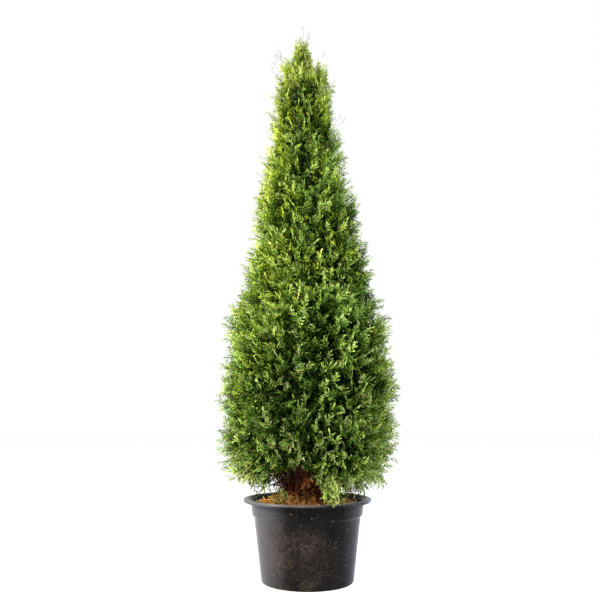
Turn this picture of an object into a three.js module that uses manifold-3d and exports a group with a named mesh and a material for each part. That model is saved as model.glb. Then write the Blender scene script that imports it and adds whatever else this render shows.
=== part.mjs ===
// A columnar thuja in its nursery container: container, soil, leader trunk, stems, boughs and
// masses of foliage. Millimetres, +Z up. The origin is the centre of the container's flat
// underside, and the bare foot of the plant looks towards -Y.
//
// The crown is laid out in crown coordinates: an angle round the leader (0 along +X), a distance
// from it and a height. Every mass fills its own cell of them, so no two masses can meet.

import * as THREE from "three";
import { mergeVertices } from "three/addons/utils/BufferGeometryUtils.js";
import Module from "manifold-3d";

const { clamp, degToRad, lerp } = THREE.MathUtils;

// ---- Driving sizes: container ----
const ROUND_SIDES = 36;
const TOUCH_GAP = 0.5;
const POT_HEIGHT = 306;
const BASE_RADIUS = 177;
const BASE_ROUNDING = 7;
const STEP_HEIGHT = 240;
const STEP_RADIUS = 208;
const STEP_RISE = 6;
const BAND_RADIUS = 215;
const LIP_UNDERSIDE = 293;
const LIP_NECK_RADIUS = 221;
const LIP_RADIUS = 249;
const LIP_ROUNDING = 5;
const LIP_INNER_RADIUS = 231;
const POT_WALL = 4;
const POT_FLOOR = 5;
const DRAIN_HOLES = 8;
const DRAIN_HOLE_RADIUS = 7;
const DRAIN_RING_RADIUS = 140;

// ---- Driving sizes: soil and wood ----
const SOIL_TOP = 288;
const SOIL_EDGE_DROP = 7;
const SOIL_FLAT_RADIUS = 95;
const TRUNK_FOOT = SOIL_TOP + TOUCH_GAP;
const TRUNK_TIP = 2266;
const TRUNK_SIDES = 12;
const TRUNK_RINGS = 14;
const TRUNK_FOOT_RADIUS = 20;
const TRUNK_TIP_RADIUS = 2.5;
const FLARE_RADIUS = 12;
const FLARE_HEIGHT = 45;
const FLARE_LOBES = 5;
const FOOT_OFFSET = 5;
const LEAN = 17;
const SWAY = 4;
const STEM_COUNT = 5;
const STEM_RADIUS = 5.5;
const STEM_TIP_RADIUS = 3.5;
const STEM_RING_RADIUS = 52;
const STEM_TOP = 478;
const STEM_FIRST_ANGLE = -128;
const BOUGH_RADIUS = 6.5;
const BOUGH_TIP_RADIUS = 4;
const BOUGH_SLOPE = 0.8;

// ---- Driving sizes: crown ----
const CROWN_HEIGHTS = [340, 440, 560, 780, 1000, 1200, 1400, 1600, 1800, 2000, 2100, 2200];
const CROWN_RADII = [318, 344, 360, 355, 323, 277, 234, 200, 169, 138, 116, 98];
const CROWN_RIPPLE = 0.03;
const CORE_SHARE = 0.28;
const TRUNK_CLEARANCE = 5;
const MASS_GAP = 9;
const CELL_RISE = 0.5;
const CELL_WAVE = 42;
const EDGE_DROP = 26;
const MASS_SPLITS = [2, 5, 5];

// Each skirt mass: where it starts and ends round the leader, and how low it hangs.
const SKIRT = [
  { name: "skirt_window", from: -122, to: -82, bottom: 432 },
  { name: "skirt_front_right", from: -82, to: -22, bottom: 346 },
  { name: "skirt_right", from: -22, to: 38, bottom: 338 },
  { name: "skirt_back", from: 38, to: 98, bottom: 348 },
  { name: "skirt_back_left", from: 98, to: 168, bottom: 366 },
  { name: "skirt_left", from: 168, to: 238, bottom: 350 },
];
const SKIRT_TOP = 560;
const SKIRT_LOWEST_RADIUS = 265;

// Each ring of masses above the skirt: its name, how many it has, its top and its first angle.
// The rings with a wide core have a bough to each mass; above them the masses hug the trunk.
const RINGS = [
  { name: "lower", count: 5, top: 800, start: -150, wideCore: true },
  { name: "waist", count: 5, top: 1060, start: -112, wideCore: true },
  { name: "middle", count: 4, top: 1320, start: -160, wideCore: true },
  { name: "upper", count: 4, top: 1580, start: -118, wideCore: false },
  { name: "shoulder", count: 3, top: 1820, start: -170, wideCore: false },
  { name: "neck", count: 3, top: 2040, start: -110, wideCore: false },
];

// Each mass of the crest draws up to one peak beside the spire.
const CREST = [
  { name: "crest_front", from: -130, to: -62, peak: 2122 },
  { name: "crest_right", from: -62, to: 42, peak: 2206 },
  { name: "crest_back", from: 42, to: 128, peak: 2150 },
  { name: "crest_left", from: 128, to: 230, peak: 2190 },
];
const CREST_EDGE = 2096;
const CREST_MIDDLE = 78;
const CREST_SPREAD = 40;
const CREST_CORE = 47;
const SPIRE_RADIUS = 38;
const SPIRE_BOTTOM = 2040;
const SPIRE_TOP = 2252;

// The spray that hangs over the container's lip, a thin pad outside it.
const RIM_SPRAY = { angle: -67, radius: 271, halfWidth: 40, halfDepth: 12, low: 284, high: 340 };

// ---- Materials ----
function material(colour, roughness) {
  return new THREE.MeshStandardMaterial({ color: colour, roughness, metalness: 0 });
}
const CONTAINER = material(0x1f2023, 0.4);
const SUBSTRATE = material(0x4a2f1d, 0.95);
const BARK = material(0x5d3f2d, 0.9);
const FOLIAGE = material(0x4f7a26, 0.7);

// ---- Helpers ----
const object = new THREE.Group();

function add(name, geometry, finish) {
  const mesh = new THREE.Mesh(geometry, finish);
  mesh.name = name;
  object.add(mesh);
}

// A geometry's shared vertices are merged, and each is moved to place(vertex).
function reshape(geometry, place) {
  geometry.deleteAttribute("normal");
  geometry.deleteAttribute("uv");
  const merged = mergeVertices(geometry);
  const position = merged.getAttribute("position");
  const vertex = new THREE.Vector3();
  for (let i = 0; i < position.count; i += 1) {
    const moved = place(vertex.fromBufferAttribute(position, i));
    position.setXYZ(i, moved.x, moved.y, moved.z);
  }
  merged.computeVertexNormals();
  return merged;
}

// A unit cylinder from z = 0 to 1 becomes a limb: centreAt and radiusAt are along it, and
// acrossAt gives the two directions that its section spans.
function limb(sides, rings, centreAt, radiusAt, acrossAt) {
  const unit = new THREE.CylinderGeometry(1, 1, 1, sides, rings);
  unit.rotateX(Math.PI / 2).translate(0, 0, 0.5);
  return reshape(unit, ({ x, y, z }) => {
    const [right, up] = acrossAt(z);
    const radius = radiusAt(z, Math.atan2(y, x));
    return centreAt(z).addScaledVector(right, x * radius).addScaledVector(up, y * radius);
  });
}

// ---- Leader and crown coordinates ----
function shareUpLeader(height) {
  return clamp((height - TRUNK_FOOT) / (TRUNK_TIP - TRUNK_FOOT), 0, 1);
}

function leaderAt(height) {
  const share = shareUpLeader(height);
  const sway = SWAY * Math.sin(2 * Math.PI * share);
  return new THREE.Vector3(FOOT_OFFSET - LEAN * share ** 1.3 + sway, 0.6 * sway, height);
}

function crownPoint(angle, distance, height) {
  const out = new THREE.Vector3(Math.cos(angle), Math.sin(angle), 0);
  return leaderAt(height).addScaledVector(out, distance);
}

function trunkRadius(height) {
  const flare = FLARE_RADIUS * Math.exp(-(height - TRUNK_FOOT) / FLARE_HEIGHT);
  return lerp(TRUNK_FOOT_RADIUS, TRUNK_TIP_RADIUS, shareUpLeader(height)) + flare;
}

const crownProfile = new THREE.CubicInterpolant(CROWN_HEIGHTS, CROWN_RADII, 1);

function profileRadius(height) {
  const inside = clamp(height, CROWN_HEIGHTS[0], CROWN_HEIGHTS.at(-1));
  return crownProfile.evaluate(inside)[0];
}

function crownRadius(angle, height) {
  const slow = Math.sin(3 * angle + height / 92);
  const quick = Math.sin(5 * angle - height / 63 + 1.3);
  return profileRadius(height) * (1 + CROWN_RIPPLE * (0.6 * slow + 0.4 * quick));
}

// The bare core round the leader is wide low down and close to the trunk near the top.
function wideCore(height) {
  return CORE_SHARE * profileRadius(height);
}

function closeCore(height) {
  return trunkRadius(height) + TRUNK_CLEARANCE;
}

// A border between two rings rises outwards, as the branches do, and waves round the crown.
function ringBorder(level) {
  const middle = 0.5 * profileRadius(level);
  return (angle, distance) => {
    const wave = CELL_WAVE * Math.sin(3 * angle + level / 70);
    return level + CELL_RISE * (distance - middle) + wave * clamp(distance / middle - 0.4, 0, 1);
  };
}

// The top of a crest mass is a peak over the middle of its sector.
function peakedTop({ from, to, peak }) {
  return (angle, distance) => {
    const acrossSector = 1 - Math.abs((2 * (angle - from)) / (to - from) - 1);
    const nearMiddle = Math.exp(-(((distance - CREST_MIDDLE) / CREST_SPREAD) ** 2));
    return lerp(CREST_EDGE, peak, acrossSector * nearMiddle);
  };
}

// The underside of a skirt mass hangs lowest just outside the container's lip.
function skirtUnderside(bottom) {
  return (angle, distance) => {
    const inside = Math.max(0, SKIRT_LOWEST_RADIUS - distance);
    const outside = Math.max(0, distance - SKIRT_LOWEST_RADIUS);
    return bottom + 0.12 * inside + 0.65 * outside;
  };
}

// ---- Container ----
function containerProfile() {
  const outline = new THREE.Path();
  outline.moveTo(0, 0);
  outline.lineTo(BASE_RADIUS - BASE_ROUNDING, 0);
  outline.quadraticCurveTo(BASE_RADIUS, 0, BASE_RADIUS + 1, BASE_ROUNDING);
  outline.lineTo(STEP_RADIUS, STEP_HEIGHT);
  outline.lineTo(BAND_RADIUS, STEP_HEIGHT + STEP_RISE);
  outline.lineTo(LIP_NECK_RADIUS, LIP_UNDERSIDE);
  outline.lineTo(LIP_RADIUS - LIP_ROUNDING, LIP_UNDERSIDE);
  outline.quadraticCurveTo(LIP_RADIUS, LIP_UNDERSIDE, LIP_RADIUS, LIP_UNDERSIDE + LIP_ROUNDING);
  outline.lineTo(LIP_RADIUS, POT_HEIGHT - LIP_ROUNDING);
  outline.quadraticCurveTo(LIP_RADIUS, POT_HEIGHT, LIP_RADIUS - LIP_ROUNDING, POT_HEIGHT);
  outline.lineTo(LIP_INNER_RADIUS, POT_HEIGHT);
  outline.lineTo(LIP_NECK_RADIUS - POT_WALL, LIP_UNDERSIDE);
  outline.lineTo(BAND_RADIUS - POT_WALL, STEP_HEIGHT + STEP_RISE);
  outline.lineTo(STEP_RADIUS - POT_WALL, STEP_HEIGHT);
  outline.lineTo(BASE_RADIUS - POT_WALL, POT_FLOOR);
  outline.lineTo(0, POT_FLOOR);
  return outline.getPoints(3);
}

function turned(points) {
  const lathe = new THREE.LatheGeometry(points, ROUND_SIDES);
  lathe.rotateX(Math.PI / 2);
  return reshape(lathe, (vertex) => vertex);
}

function manifoldOf(library, geometry) {
  const mesh = new library.Mesh({
    numProp: 3,
    vertProperties: Float32Array.from(geometry.getAttribute("position").array),
    triVerts: Uint32Array.from(geometry.getIndex().array),
  });
  return new library.Manifold(mesh);
}

function geometryOf(solid) {
  const { vertProperties, triVerts } = solid.getMesh();
  const geometry = new THREE.BufferGeometry();
  geometry.setAttribute("position", new THREE.Float32BufferAttribute(vertProperties, 3));
  geometry.setIndex(Array.from(triVerts));
  geometry.computeVertexNormals();
  return geometry;
}

function drainHole(angle) {
  const tool = new THREE.CylinderGeometry(DRAIN_HOLE_RADIUS, DRAIN_HOLE_RADIUS, 6 * POT_FLOOR, 10);
  tool.rotateX(Math.PI / 2);
  tool.translate(DRAIN_RING_RADIUS * Math.cos(angle), DRAIN_RING_RADIUS * Math.sin(angle), 0);
  return reshape(tool, (vertex) => vertex);
}

async function container() {
  const library = await Module();
  library.setup();
  let solid = manifoldOf(library, turned(containerProfile()));
  for (let i = 0; i < DRAIN_HOLES; i += 1) {
    const hole = drainHole((2 * Math.PI * (i + 0.5)) / DRAIN_HOLES);
    solid = solid.subtract(manifoldOf(library, hole));
  }
  return geometryOf(solid);
}

// ---- Soil: fills the container to just under its lip, level round the stems ----
function soil() {
  const edge = SOIL_TOP - SOIL_EDGE_DROP;
  const slope = (LIP_NECK_RADIUS - BAND_RADIUS) / (LIP_UNDERSIDE - STEP_HEIGHT - STEP_RISE);
  const edgeRadius = BAND_RADIUS + slope * (edge - STEP_HEIGHT - STEP_RISE) - 1;
  const inset = POT_WALL + TOUCH_GAP;
  return turned([
    new THREE.Vector2(0, POT_FLOOR + TOUCH_GAP),
    new THREE.Vector2(BASE_RADIUS - inset - 1, POT_FLOOR + TOUCH_GAP),
    new THREE.Vector2(STEP_RADIUS - inset, STEP_HEIGHT),
    new THREE.Vector2(BAND_RADIUS - inset, STEP_HEIGHT + STEP_RISE),
    new THREE.Vector2(edgeRadius - inset, edge),
    new THREE.Vector2(SOIL_FLAT_RADIUS, SOIL_TOP),
    new THREE.Vector2(0, SOIL_TOP),
  ]);
}

// ---- Trunk: one leader with a lobed root flare, cut flat at the soil ----
function trunk() {
  const heightAt = (share) => lerp(TRUNK_FOOT, TRUNK_TIP, share ** 1.5);
  const level = [new THREE.Vector3(1, 0, 0), new THREE.Vector3(0, 1, 0)];
  const radiusAt = (share, around) => {
    const height = heightAt(share);
    const flare = Math.exp(-(height - TRUNK_FOOT) / FLARE_HEIGHT);
    return trunkRadius(height) * (1 + 0.16 * flare * Math.cos(FLARE_LOBES * around));
  };
  const centreAt = (share) => leaderAt(heightAt(share));
  return limb(TRUNK_SIDES, TRUNK_RINGS, centreAt, radiusAt, () => level);
}

// ---- Stems: they rise beside the trunk from the soil into the core of the skirt ----
function stem(index) {
  const first = degToRad(STEM_FIRST_ANGLE) + (2 * Math.PI * index) / STEM_COUNT;
  const reach = wideCore(STEM_TOP) - STEM_TIP_RADIUS - 1.5;
  const top = STEM_TOP + 14 * Math.sin(2.4 * index);
  const centreAt = (share) => {
    const distance = lerp(STEM_RING_RADIUS, reach, share ** 2);
    return crownPoint(first + 0.12 * share, distance, lerp(TRUNK_FOOT, top, share));
  };
  const level = [new THREE.Vector3(1, 0, 0), new THREE.Vector3(0, 1, 0)];
  return limb(8, 4, centreAt, (share) => lerp(STEM_RADIUS, STEM_TIP_RADIUS, share), () => level);
}

// ---- Boughs: each runs from the trunk's side out to the inner face of its mass ----
function bough(angle, height) {
  const start = trunkRadius(height) + 1;
  const end = wideCore(height) - 2;
  const rise = BOUGH_SLOPE * (end - start);
  const centreAt = (share) => {
    const sag = 4 * Math.sin(Math.PI * share);
    return crownPoint(angle, lerp(start, end, share), height - rise * (1 - share) - sag);
  };
  const across = new THREE.Vector3(-Math.sin(angle), Math.cos(angle), 0);
  const upright = new THREE.Vector3(0, 0, Math.hypot(1, BOUGH_SLOPE));
  const taper = (share) => lerp(BOUGH_RADIUS, BOUGH_TIP_RADIUS, share);
  return limb(6, 2, centreAt, taper, () => [across, upright]);
}

// ---- Masses: a unit box wrapped into one cell of the crown and puffed out in its middle ----
function puff(share) {
  return Math.sqrt(1 - Math.abs(2 * share - 1) ** 3);
}

function mass({ from, to, under, over, core, fullness }) {
  const [deep, around, tall] = MASS_SPLITS;
  const unit = new THREE.BoxGeometry(1, 1, 1, deep, around, tall).translate(0.5, 0.5, 0.5);
  return reshape(unit, ({ x: depth, y: turn, z: rise }) => {
    const angle = lerp(from, to, turn);
    const edgeDrop = EDGE_DROP * (1 - puff(turn) * puff(rise));
    let distance = CROWN_RADII[0];
    let height = 0;
    for (let pass = 0; pass < 8; pass += 1) {
      const low = under(angle, distance) + 0.5 * MASS_GAP;
      const high = over(angle, distance) - 0.5 * MASS_GAP;
      height = lerp(low, high, rise);
      const outer = fullness * crownRadius(angle, height) - edgeDrop;
      distance = lerp(core(height), outer, depth);
    }
    const sideGap = (0.5 * MASS_GAP) / distance;
    return crownPoint(lerp(from + sideGap, to - sideGap, turn), distance, height);
  });
}

function skirtMasses() {
  SKIRT.forEach(({ name, from, to, bottom }, index) => {
    add(name, mass({
      from: degToRad(from),
      to: degToRad(to),
      under: skirtUnderside(bottom),
      over: ringBorder(SKIRT_TOP),
      core: wideCore,
      fullness: 0.99 + 0.015 * Math.sin(2.2 * index),
    }), FOLIAGE);
  });
}

function ringMasses(ring, index) {
  const width = (2 * Math.PI) / ring.count;
  const bottom = index > 0 ? RINGS[index - 1].top : SKIRT_TOP;
  for (let i = 0; i < ring.count; i += 1) {
    const from = degToRad(ring.start) + i * width;
    add(`${ring.name}_${i + 1}`, mass({
      from,
      to: from + width,
      under: ringBorder(bottom),
      over: ringBorder(ring.top),
      core: ring.wideCore ? wideCore : closeCore,
      fullness: 1 + 0.02 * Math.sin(1.7 * i + 2.3 * index),
    }), FOLIAGE);
    if (ring.wideCore) {
      const height = lerp(bottom, ring.top, 0.45);
      add(`bough_${ring.name}_${i + 1}`, bough(from + 0.5 * width, height), BARK);
    }
  }
}

function crestMass({ name, from, to, peak }) {
  const sector = { from: degToRad(from), to: degToRad(to) };
  add(name, mass({
    ...sector,
    under: ringBorder(RINGS.at(-1).top),
    over: peakedTop({ ...sector, peak }),
    core: () => CREST_CORE,
    fullness: 1,
  }), FOLIAGE);
}

// Half of the spire that wraps the leader's tip: a box from the trunk's side outwards.
function spireHalf(from) {
  const unit = new THREE.BoxGeometry(1, 1, 1, 1, 5, 6).translate(0.5, 0.5, 0.5);
  return reshape(unit, ({ x: depth, y: turn, z: rise }) => {
    const height = lerp(SPIRE_BOTTOM, SPIRE_TOP, rise);
    const inner = trunkRadius(height) + 2;
    const bulge = 1 + 0.06 * Math.sin(11 * rise + from);
    const outer = inner + 4 + (SPIRE_RADIUS - inner) * (1 - rise ** 3.5) * bulge;
    const distance = lerp(inner, outer * lerp(0.9, 1, puff(turn)), depth);
    const sideGap = 1.2 / distance;
    return crownPoint(lerp(from + sideGap, from + Math.PI - sideGap, turn), distance, height);
  });
}

function rimSpray({ angle, radius, halfWidth, halfDepth, low, high }) {
  const unit = new THREE.SphereGeometry(1, 10, 7).rotateX(Math.PI / 2);
  const facing = degToRad(angle);
  const out = new THREE.Vector3(Math.cos(facing), Math.sin(facing), 0);
  const across = new THREE.Vector3(-Math.sin(facing), Math.cos(facing), 0);
  return reshape(unit, ({ x, y, z }) => {
    const share = 0.5 * (z + 1);
    const spread = halfWidth * lerp(0.55, 1.1, share);
    return new THREE.Vector3(0, 0, lerp(low, high, share))
      .addScaledVector(out, radius + halfDepth * x + 0.0025 * (y * spread) ** 2)
      .addScaledVector(across, y * spread);
  });
}

// ---- The object ----
add("pot", await container(), CONTAINER);
add("soil", soil(), SUBSTRATE);
add("trunk", trunk(), BARK);
for (let i = 0; i < STEM_COUNT; i += 1) {
  add(`stem_${i + 1}`, stem(i), BARK);
}
skirtMasses();
RINGS.forEach(ringMasses);
CREST.forEach(crestMass);
add("spire_front", spireHalf(-Math.PI), FOLIAGE);
add("spire_back", spireHalf(0), FOLIAGE);
add("rim_spray", rimSpray(RIM_SPRAY), FOLIAGE);

export default object;
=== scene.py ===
"""A tall potted thuja: bark, branches, flat sprays of scale leaves, litter and container.

Every length is in metres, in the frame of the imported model. Limbs and masses of foliage are read
from the frame, and branches, twigs and sprays grow on from them by a seeded rule.
"""

import logging
import math
from collections.abc import Callable, Sequence
from dataclasses import dataclass, field, fields
from enum import Enum

import bpy
import numpy as np
from bpy.types import Material, Node, NodeSocket, NodeTree, Object
from numpy.random import Generator
from numpy.typing import NDArray
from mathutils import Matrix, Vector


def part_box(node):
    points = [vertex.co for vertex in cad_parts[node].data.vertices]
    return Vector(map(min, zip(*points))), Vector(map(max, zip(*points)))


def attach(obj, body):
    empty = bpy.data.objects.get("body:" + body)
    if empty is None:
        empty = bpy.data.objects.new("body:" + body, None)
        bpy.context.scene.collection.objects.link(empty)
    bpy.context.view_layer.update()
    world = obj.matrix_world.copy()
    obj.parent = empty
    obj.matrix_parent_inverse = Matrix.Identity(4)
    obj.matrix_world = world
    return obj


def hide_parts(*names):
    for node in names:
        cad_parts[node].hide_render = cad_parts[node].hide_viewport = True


Array = NDArray[np.float64]
Indices = NDArray[np.int64]
Inputs = dict[str | int, object]

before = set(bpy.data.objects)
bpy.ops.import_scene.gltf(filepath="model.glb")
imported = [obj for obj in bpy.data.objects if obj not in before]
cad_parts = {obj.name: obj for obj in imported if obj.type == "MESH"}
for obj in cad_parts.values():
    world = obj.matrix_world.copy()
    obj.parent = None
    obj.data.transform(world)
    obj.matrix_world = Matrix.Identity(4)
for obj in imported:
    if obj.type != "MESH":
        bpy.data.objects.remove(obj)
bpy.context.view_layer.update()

SEED = 4127
UP = np.array([0.0, 0.0, 1.0])
MILLIMETRE = 0.001
FURTHEST_BACK = 0.98
NEARLY_UPRIGHT = 0.05
log = logging.getLogger("thuja")


# Colour and node helpers


def linear(hex_code: str) -> tuple[float, float, float, float]:
    """Turns an sRGB hex colour to linear light.

    Args:
        hex_code: six hex digits, red first.

    Returns:
        Red, green, blue and an alpha of 1.
    """
    channels = [int(hex_code[i : i + 2], 16) / 255 for i in (0, 2, 4)]
    curve = [c / 12.92 if c <= 0.04045 else ((c + 0.055) / 1.055) ** 2.4 for c in channels]
    return curve[0], curve[1], curve[2], 1.0


def plug(tree: NodeTree, node: Node, inputs: Inputs) -> None:
    """Gives each named input of a node its value, or links it to the output given instead.

    Args:
        tree: the node tree.
        node: a node in it.
        inputs: a value or an output socket for each input.
    """
    for name, value in inputs.items():
        if isinstance(value, NodeSocket):
            tree.links.new(value, node.inputs[name])
        else:
            node.inputs[name].default_value = value


def add_node(tree: NodeTree, kind: str, inputs: Inputs | None = None, **settings: object) -> Node:
    """Adds one node with its settings, values and links.

    Args:
        tree: the node tree that gets the node.
        kind: the node's Blender type name.
        inputs: for each input, a value or the output socket that it is linked to.
        settings: properties of the node.

    Returns:
        The new node.
    """
    node = tree.nodes.new(kind)
    for name, value in settings.items():
        setattr(node, name, value)
    plug(tree, node, inputs or {})
    return node


def new_material(name: str, inputs: Inputs) -> Material:
    """Makes a material with one Principled shader.

    Args:
        name: the material's name.
        inputs: the shader's constants.

    Returns:
        The material.
    """
    material = bpy.data.materials.new(name)
    material.use_nodes = True
    plug(material.node_tree, material.node_tree.nodes["Principled BSDF"], inputs)
    return material


# Array helpers


def unit(vectors: Array) -> Array:
    """Each vector along the last axis divided by its length."""
    length = np.linalg.norm(vectors, axis=-1, keepdims=True)
    return vectors / np.maximum(length, 1e-12)


def bezier(start: Array, leave: Array, arrive: Array, end: Array, steps: int) -> Array:
    """Points on many cubic Bezier curves: (1-t)^3, 3(1-t)^2 t, 3(1-t) t^2 and t^3 weigh the four.

    Args:
        start: first points, shape (n, 3).
        leave: first handles, shape (n, 3).
        arrive: second handles, shape (n, 3).
        end: last points, shape (n, 3).
        steps: points along each curve.

    Returns:
        An array of shape (n, steps, 3).
    """
    t = np.linspace(0, 1, steps)[None, :, None]
    s = 1 - t
    corners = (c[:, None, :] for c in (start, leave, arrive, end))
    weights = (s**3, 3 * s**2 * t, 3 * s * t**2, t**3)
    return sum(w * c for w, c in zip(weights, corners, strict=True))


def even_angles(count: int) -> Array:
    """Angles spaced evenly round a full turn, from 0."""
    return np.linspace(0, 2 * np.pi, count, endpoint=False)


def level_ways(angles: Array) -> Array:
    """Level unit vectors at these angles from +X, shape (..., 3)."""
    return np.stack([np.cos(angles), np.sin(angles), np.zeros_like(angles)], axis=-1)


@dataclass(frozen=True)
class Profile:
    """A value that runs in straight steps between those given at a few places."""

    places: tuple[float, ...]
    values: tuple[float, ...]

    def at(self, wanted: Array) -> Array:
        """The value at each wanted place, level past both ends."""
        return np.interp(wanted, self.places, self.values)


def along(paths: Array, back: Array) -> tuple[Array, Array]:
    """Points and directions at distances back from the tips of paths, by straight steps.

    A distance stops short of the path's root, at a share of the path's length.

    Args:
        paths: points of each path, shape (n, k, 3), the tip last.
        back: distances back from the tip, shape (n, m).

    Returns:
        Points and unit directions towards the tip, each of shape (n, m, 3).
    """
    flipped = paths[:, ::-1]
    steps = np.linalg.norm(np.diff(flipped, axis=1), axis=2)
    run = np.concatenate([np.zeros((len(paths), 1)), np.cumsum(steps, axis=1)], axis=1)
    wanted = np.minimum(back, run[:, -1:] * FURTHEST_BACK)
    cell = (wanted[:, :, None] >= run[:, None, :]).sum(axis=2) - 1
    cell = np.clip(cell, 0, steps.shape[1] - 1)
    rows = np.arange(len(paths))[:, None]
    share = (wanted - run[rows, cell]) / np.maximum(steps[rows, cell], 1e-9)
    near, far = flipped[rows, cell], flipped[rows, cell + 1]
    return near + share[..., None] * (far - near), unit(near - far)


@dataclass
class Soup:
    """Triangles gathered for one piece: points, corner numbers and a material slot each."""

    points: list[Array] = field(default_factory=list)
    faces: list[Indices] = field(default_factory=list)
    slots: list[Indices] = field(default_factory=list)
    count: int = 0

    def add(self, points: Array, faces: Indices, slots: Indices | int = 0) -> None:
        """Adds triangles.

        Args:
            points: shape (n, 3).
            faces: corner numbers within points, shape (m, 3).
            slots: a slot number for every face, or one for all.
        """
        self.points.append(points)
        self.faces.append(faces + self.count)
        self.slots.append(np.broadcast_to(slots, len(faces)).astype(np.int64))
        self.count += len(points)

    def piece(self, name: str, materials: Sequence[Material], smooth: bool = True) -> Object:
        """Makes the triangles one object at the origin, in the scene.

        Args:
            name: the object's name.
            materials: what each slot number wears.
            smooth: whether its faces are shaded smooth.

        Returns:
            The new object.
        """
        points, faces = np.concatenate(self.points), np.concatenate(self.faces)
        mesh = bpy.data.meshes.new(name)
        mesh.vertices.add(len(points))
        mesh.vertices.foreach_set("co", points.astype(np.float32).ravel())
        mesh.loops.add(faces.size)
        mesh.loops.foreach_set("vertex_index", faces.astype(np.int32).ravel())
        mesh.polygons.add(len(faces))
        mesh.polygons.foreach_set("loop_start", np.arange(0, faces.size, 3, dtype=np.int32))
        mesh.polygons.foreach_set("loop_total", np.full(len(faces), 3, dtype=np.int32))
        for material in materials:
            mesh.materials.append(material)
        slots = np.concatenate(self.slots).astype(np.int32)
        mesh.polygons.foreach_set("material_index", slots)
        mesh.polygons.foreach_set("use_smooth", np.full(len(faces), smooth))
        mesh.update(calc_edges=True)
        piece = bpy.data.objects.new(name, mesh)
        bpy.context.scene.collection.objects.link(piece)
        return piece


def closed_faces(rings: int, around: int) -> Indices:
    """Triangles facing out over rings of points that a pole closes at each end.

    The points are numbered ring by ring, and the two poles come after them.

    Args:
        rings: how many rings.
        around: points on each ring.

    Returns:
        Corner numbers of shape (m, 3).
    """
    row = np.arange(rings - 1)[:, None] * around
    here = np.arange(around)
    after = (here + 1) % around
    a, b = row + here, row + after
    c, d = b + around, a + around
    wall = np.stack([a, b, c, a, c, d], axis=-1).reshape(-1, 3)
    last = (rings - 1) * around
    pole = np.full(around, rings * around)
    start = np.stack([pole, after, here], axis=1)
    end = np.stack([pole + 1, last + here, last + after], axis=1)
    return np.concatenate([wall, start, end])


def tubes(
    paths: Array,
    radii: Array,
    sides: int,
    relief: Callable[[Array, Array], Array] | None = None,
) -> tuple[Array, Indices]:
    """Closed tubes along many paths: a ring of points round each step and a pole at each end.

    A ring's point is the step plus radius times (cos a * side + sin a * other), where side is
    level and square to the path's chord, and other is square to both it and the path. The side
    of an upright chord is +X.

    Args:
        paths: shape (n, k, 3).
        radii: shape (n, k).
        sides: points round each ring.
        relief: height added at each angle and length along the tube, if any.

    Returns:
        All points, and triangles facing out.
    """
    count, steps, _ = paths.shape
    chord = unit(paths[:, -1] - paths[:, 0])
    level = np.cross(chord, UP)
    upright = np.linalg.norm(level, axis=1, keepdims=True) < NEARLY_UPRIGHT
    side = unit(np.where(upright, np.array([1.0, 0.0, 0.0]), level))[:, None, :]
    ahead = unit(np.gradient(paths, axis=1))
    other = unit(np.cross(ahead, side))
    side = np.cross(other, ahead)
    angle = even_angles(sides)
    reach = np.broadcast_to(radii[:, :, None], (count, steps, sides))
    if relief is not None:
        length = np.cumsum(np.linalg.norm(np.diff(paths, axis=1, prepend=paths[:, :1]), axis=2), 1)
        reach = reach + relief(angle[None, None, :], length[:, :, None])
    spoke = np.cos(angle)[:, None] * side[:, :, None, :] + np.sin(angle)[:, None] * other[:, :, None, :]
    rings = paths[:, :, None, :] + reach[..., None] * spoke
    points = np.concatenate([rings.reshape(count, -1, 3), paths[:, :1], paths[:, -1:]], axis=1)
    offset = (np.arange(count) * points.shape[1])[:, None, None]
    faces = closed_faces(steps, sides)[None] + offset
    return points.reshape(-1, 3), faces.reshape(-1, 3)


def smooth_noise(points: Array, scale: float, seed: int, waves: int = 9) -> Array:
    """A smooth field from -1 to 1: the mean of sines along random directions, widened.

    Args:
        points: shape (..., 3).
        scale: the typical width of a bump.
        seed: which field.
        waves: how many sines.

    Returns:
        Shape (...).
    """
    rng = np.random.default_rng(seed)
    directions = unit(rng.normal(size=(waves, 3))) * (2 * np.pi / scale)
    directions *= rng.uniform(0.6, 1.5, size=(waves, 1)) * 0.5
    phases = rng.uniform(0, 2 * np.pi, waves)
    field_sum = np.sin(points @ directions.T + phases).mean(axis=-1)
    return np.clip(field_sum * math.sqrt(waves), -1, 1)


# Finishes


class Tint(Enum):
    """Colours of the foliage: two green families, each in levels of painted light and shade from deep
    shade to the lit tip, and dead ones.
    """

    GREEN_0 = "0a1705"
    GREEN_1 = "182a0b"
    GREEN_2 = "354f17"
    GREEN_3 = "507224"
    GREEN_4 = "71963a"
    GREEN_5 = "96b552"
    GREEN_6 = "b9d07a"
    GOLD_0 = "111605"
    GOLD_1 = "27340a"
    GOLD_2 = "495c0d"
    GOLD_3 = "6b851a"
    GOLD_4 = "8ea72a"
    GOLD_5 = "aec448"
    GOLD_6 = "cbd877"
    OLIVE = "66743a"
    PALE_OLIVE = "9ca862"
    STRAW = "d0aa68"
    RUST = "c07c42"
    DEAD = "643c24"
    UMBER = "331f14"


TINT_ORDER = list(Tint)
LEVELS = 7


def tint_slot(tint: Tint) -> int:
    """The material slot number of a tint."""
    return TINT_ORDER.index(tint)


def lighter(slots: Indices, steps: Indices) -> Indices:
    """Slots some steps lighter: greens stop at their lightest, olive pales, the rest stay.

    Args:
        slots: slot numbers.
        steps: how many steps each rises.

    Returns:
        The raised slot numbers.
    """
    level = slots % LEVELS
    green = slots < 2 * LEVELS
    raised = slots - level + np.minimum(level + steps, LEVELS - 1)
    olive = slots == tint_slot(Tint.OLIVE)
    return np.where(green, raised, np.where(olive, slots + (steps > 0), slots))


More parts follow.
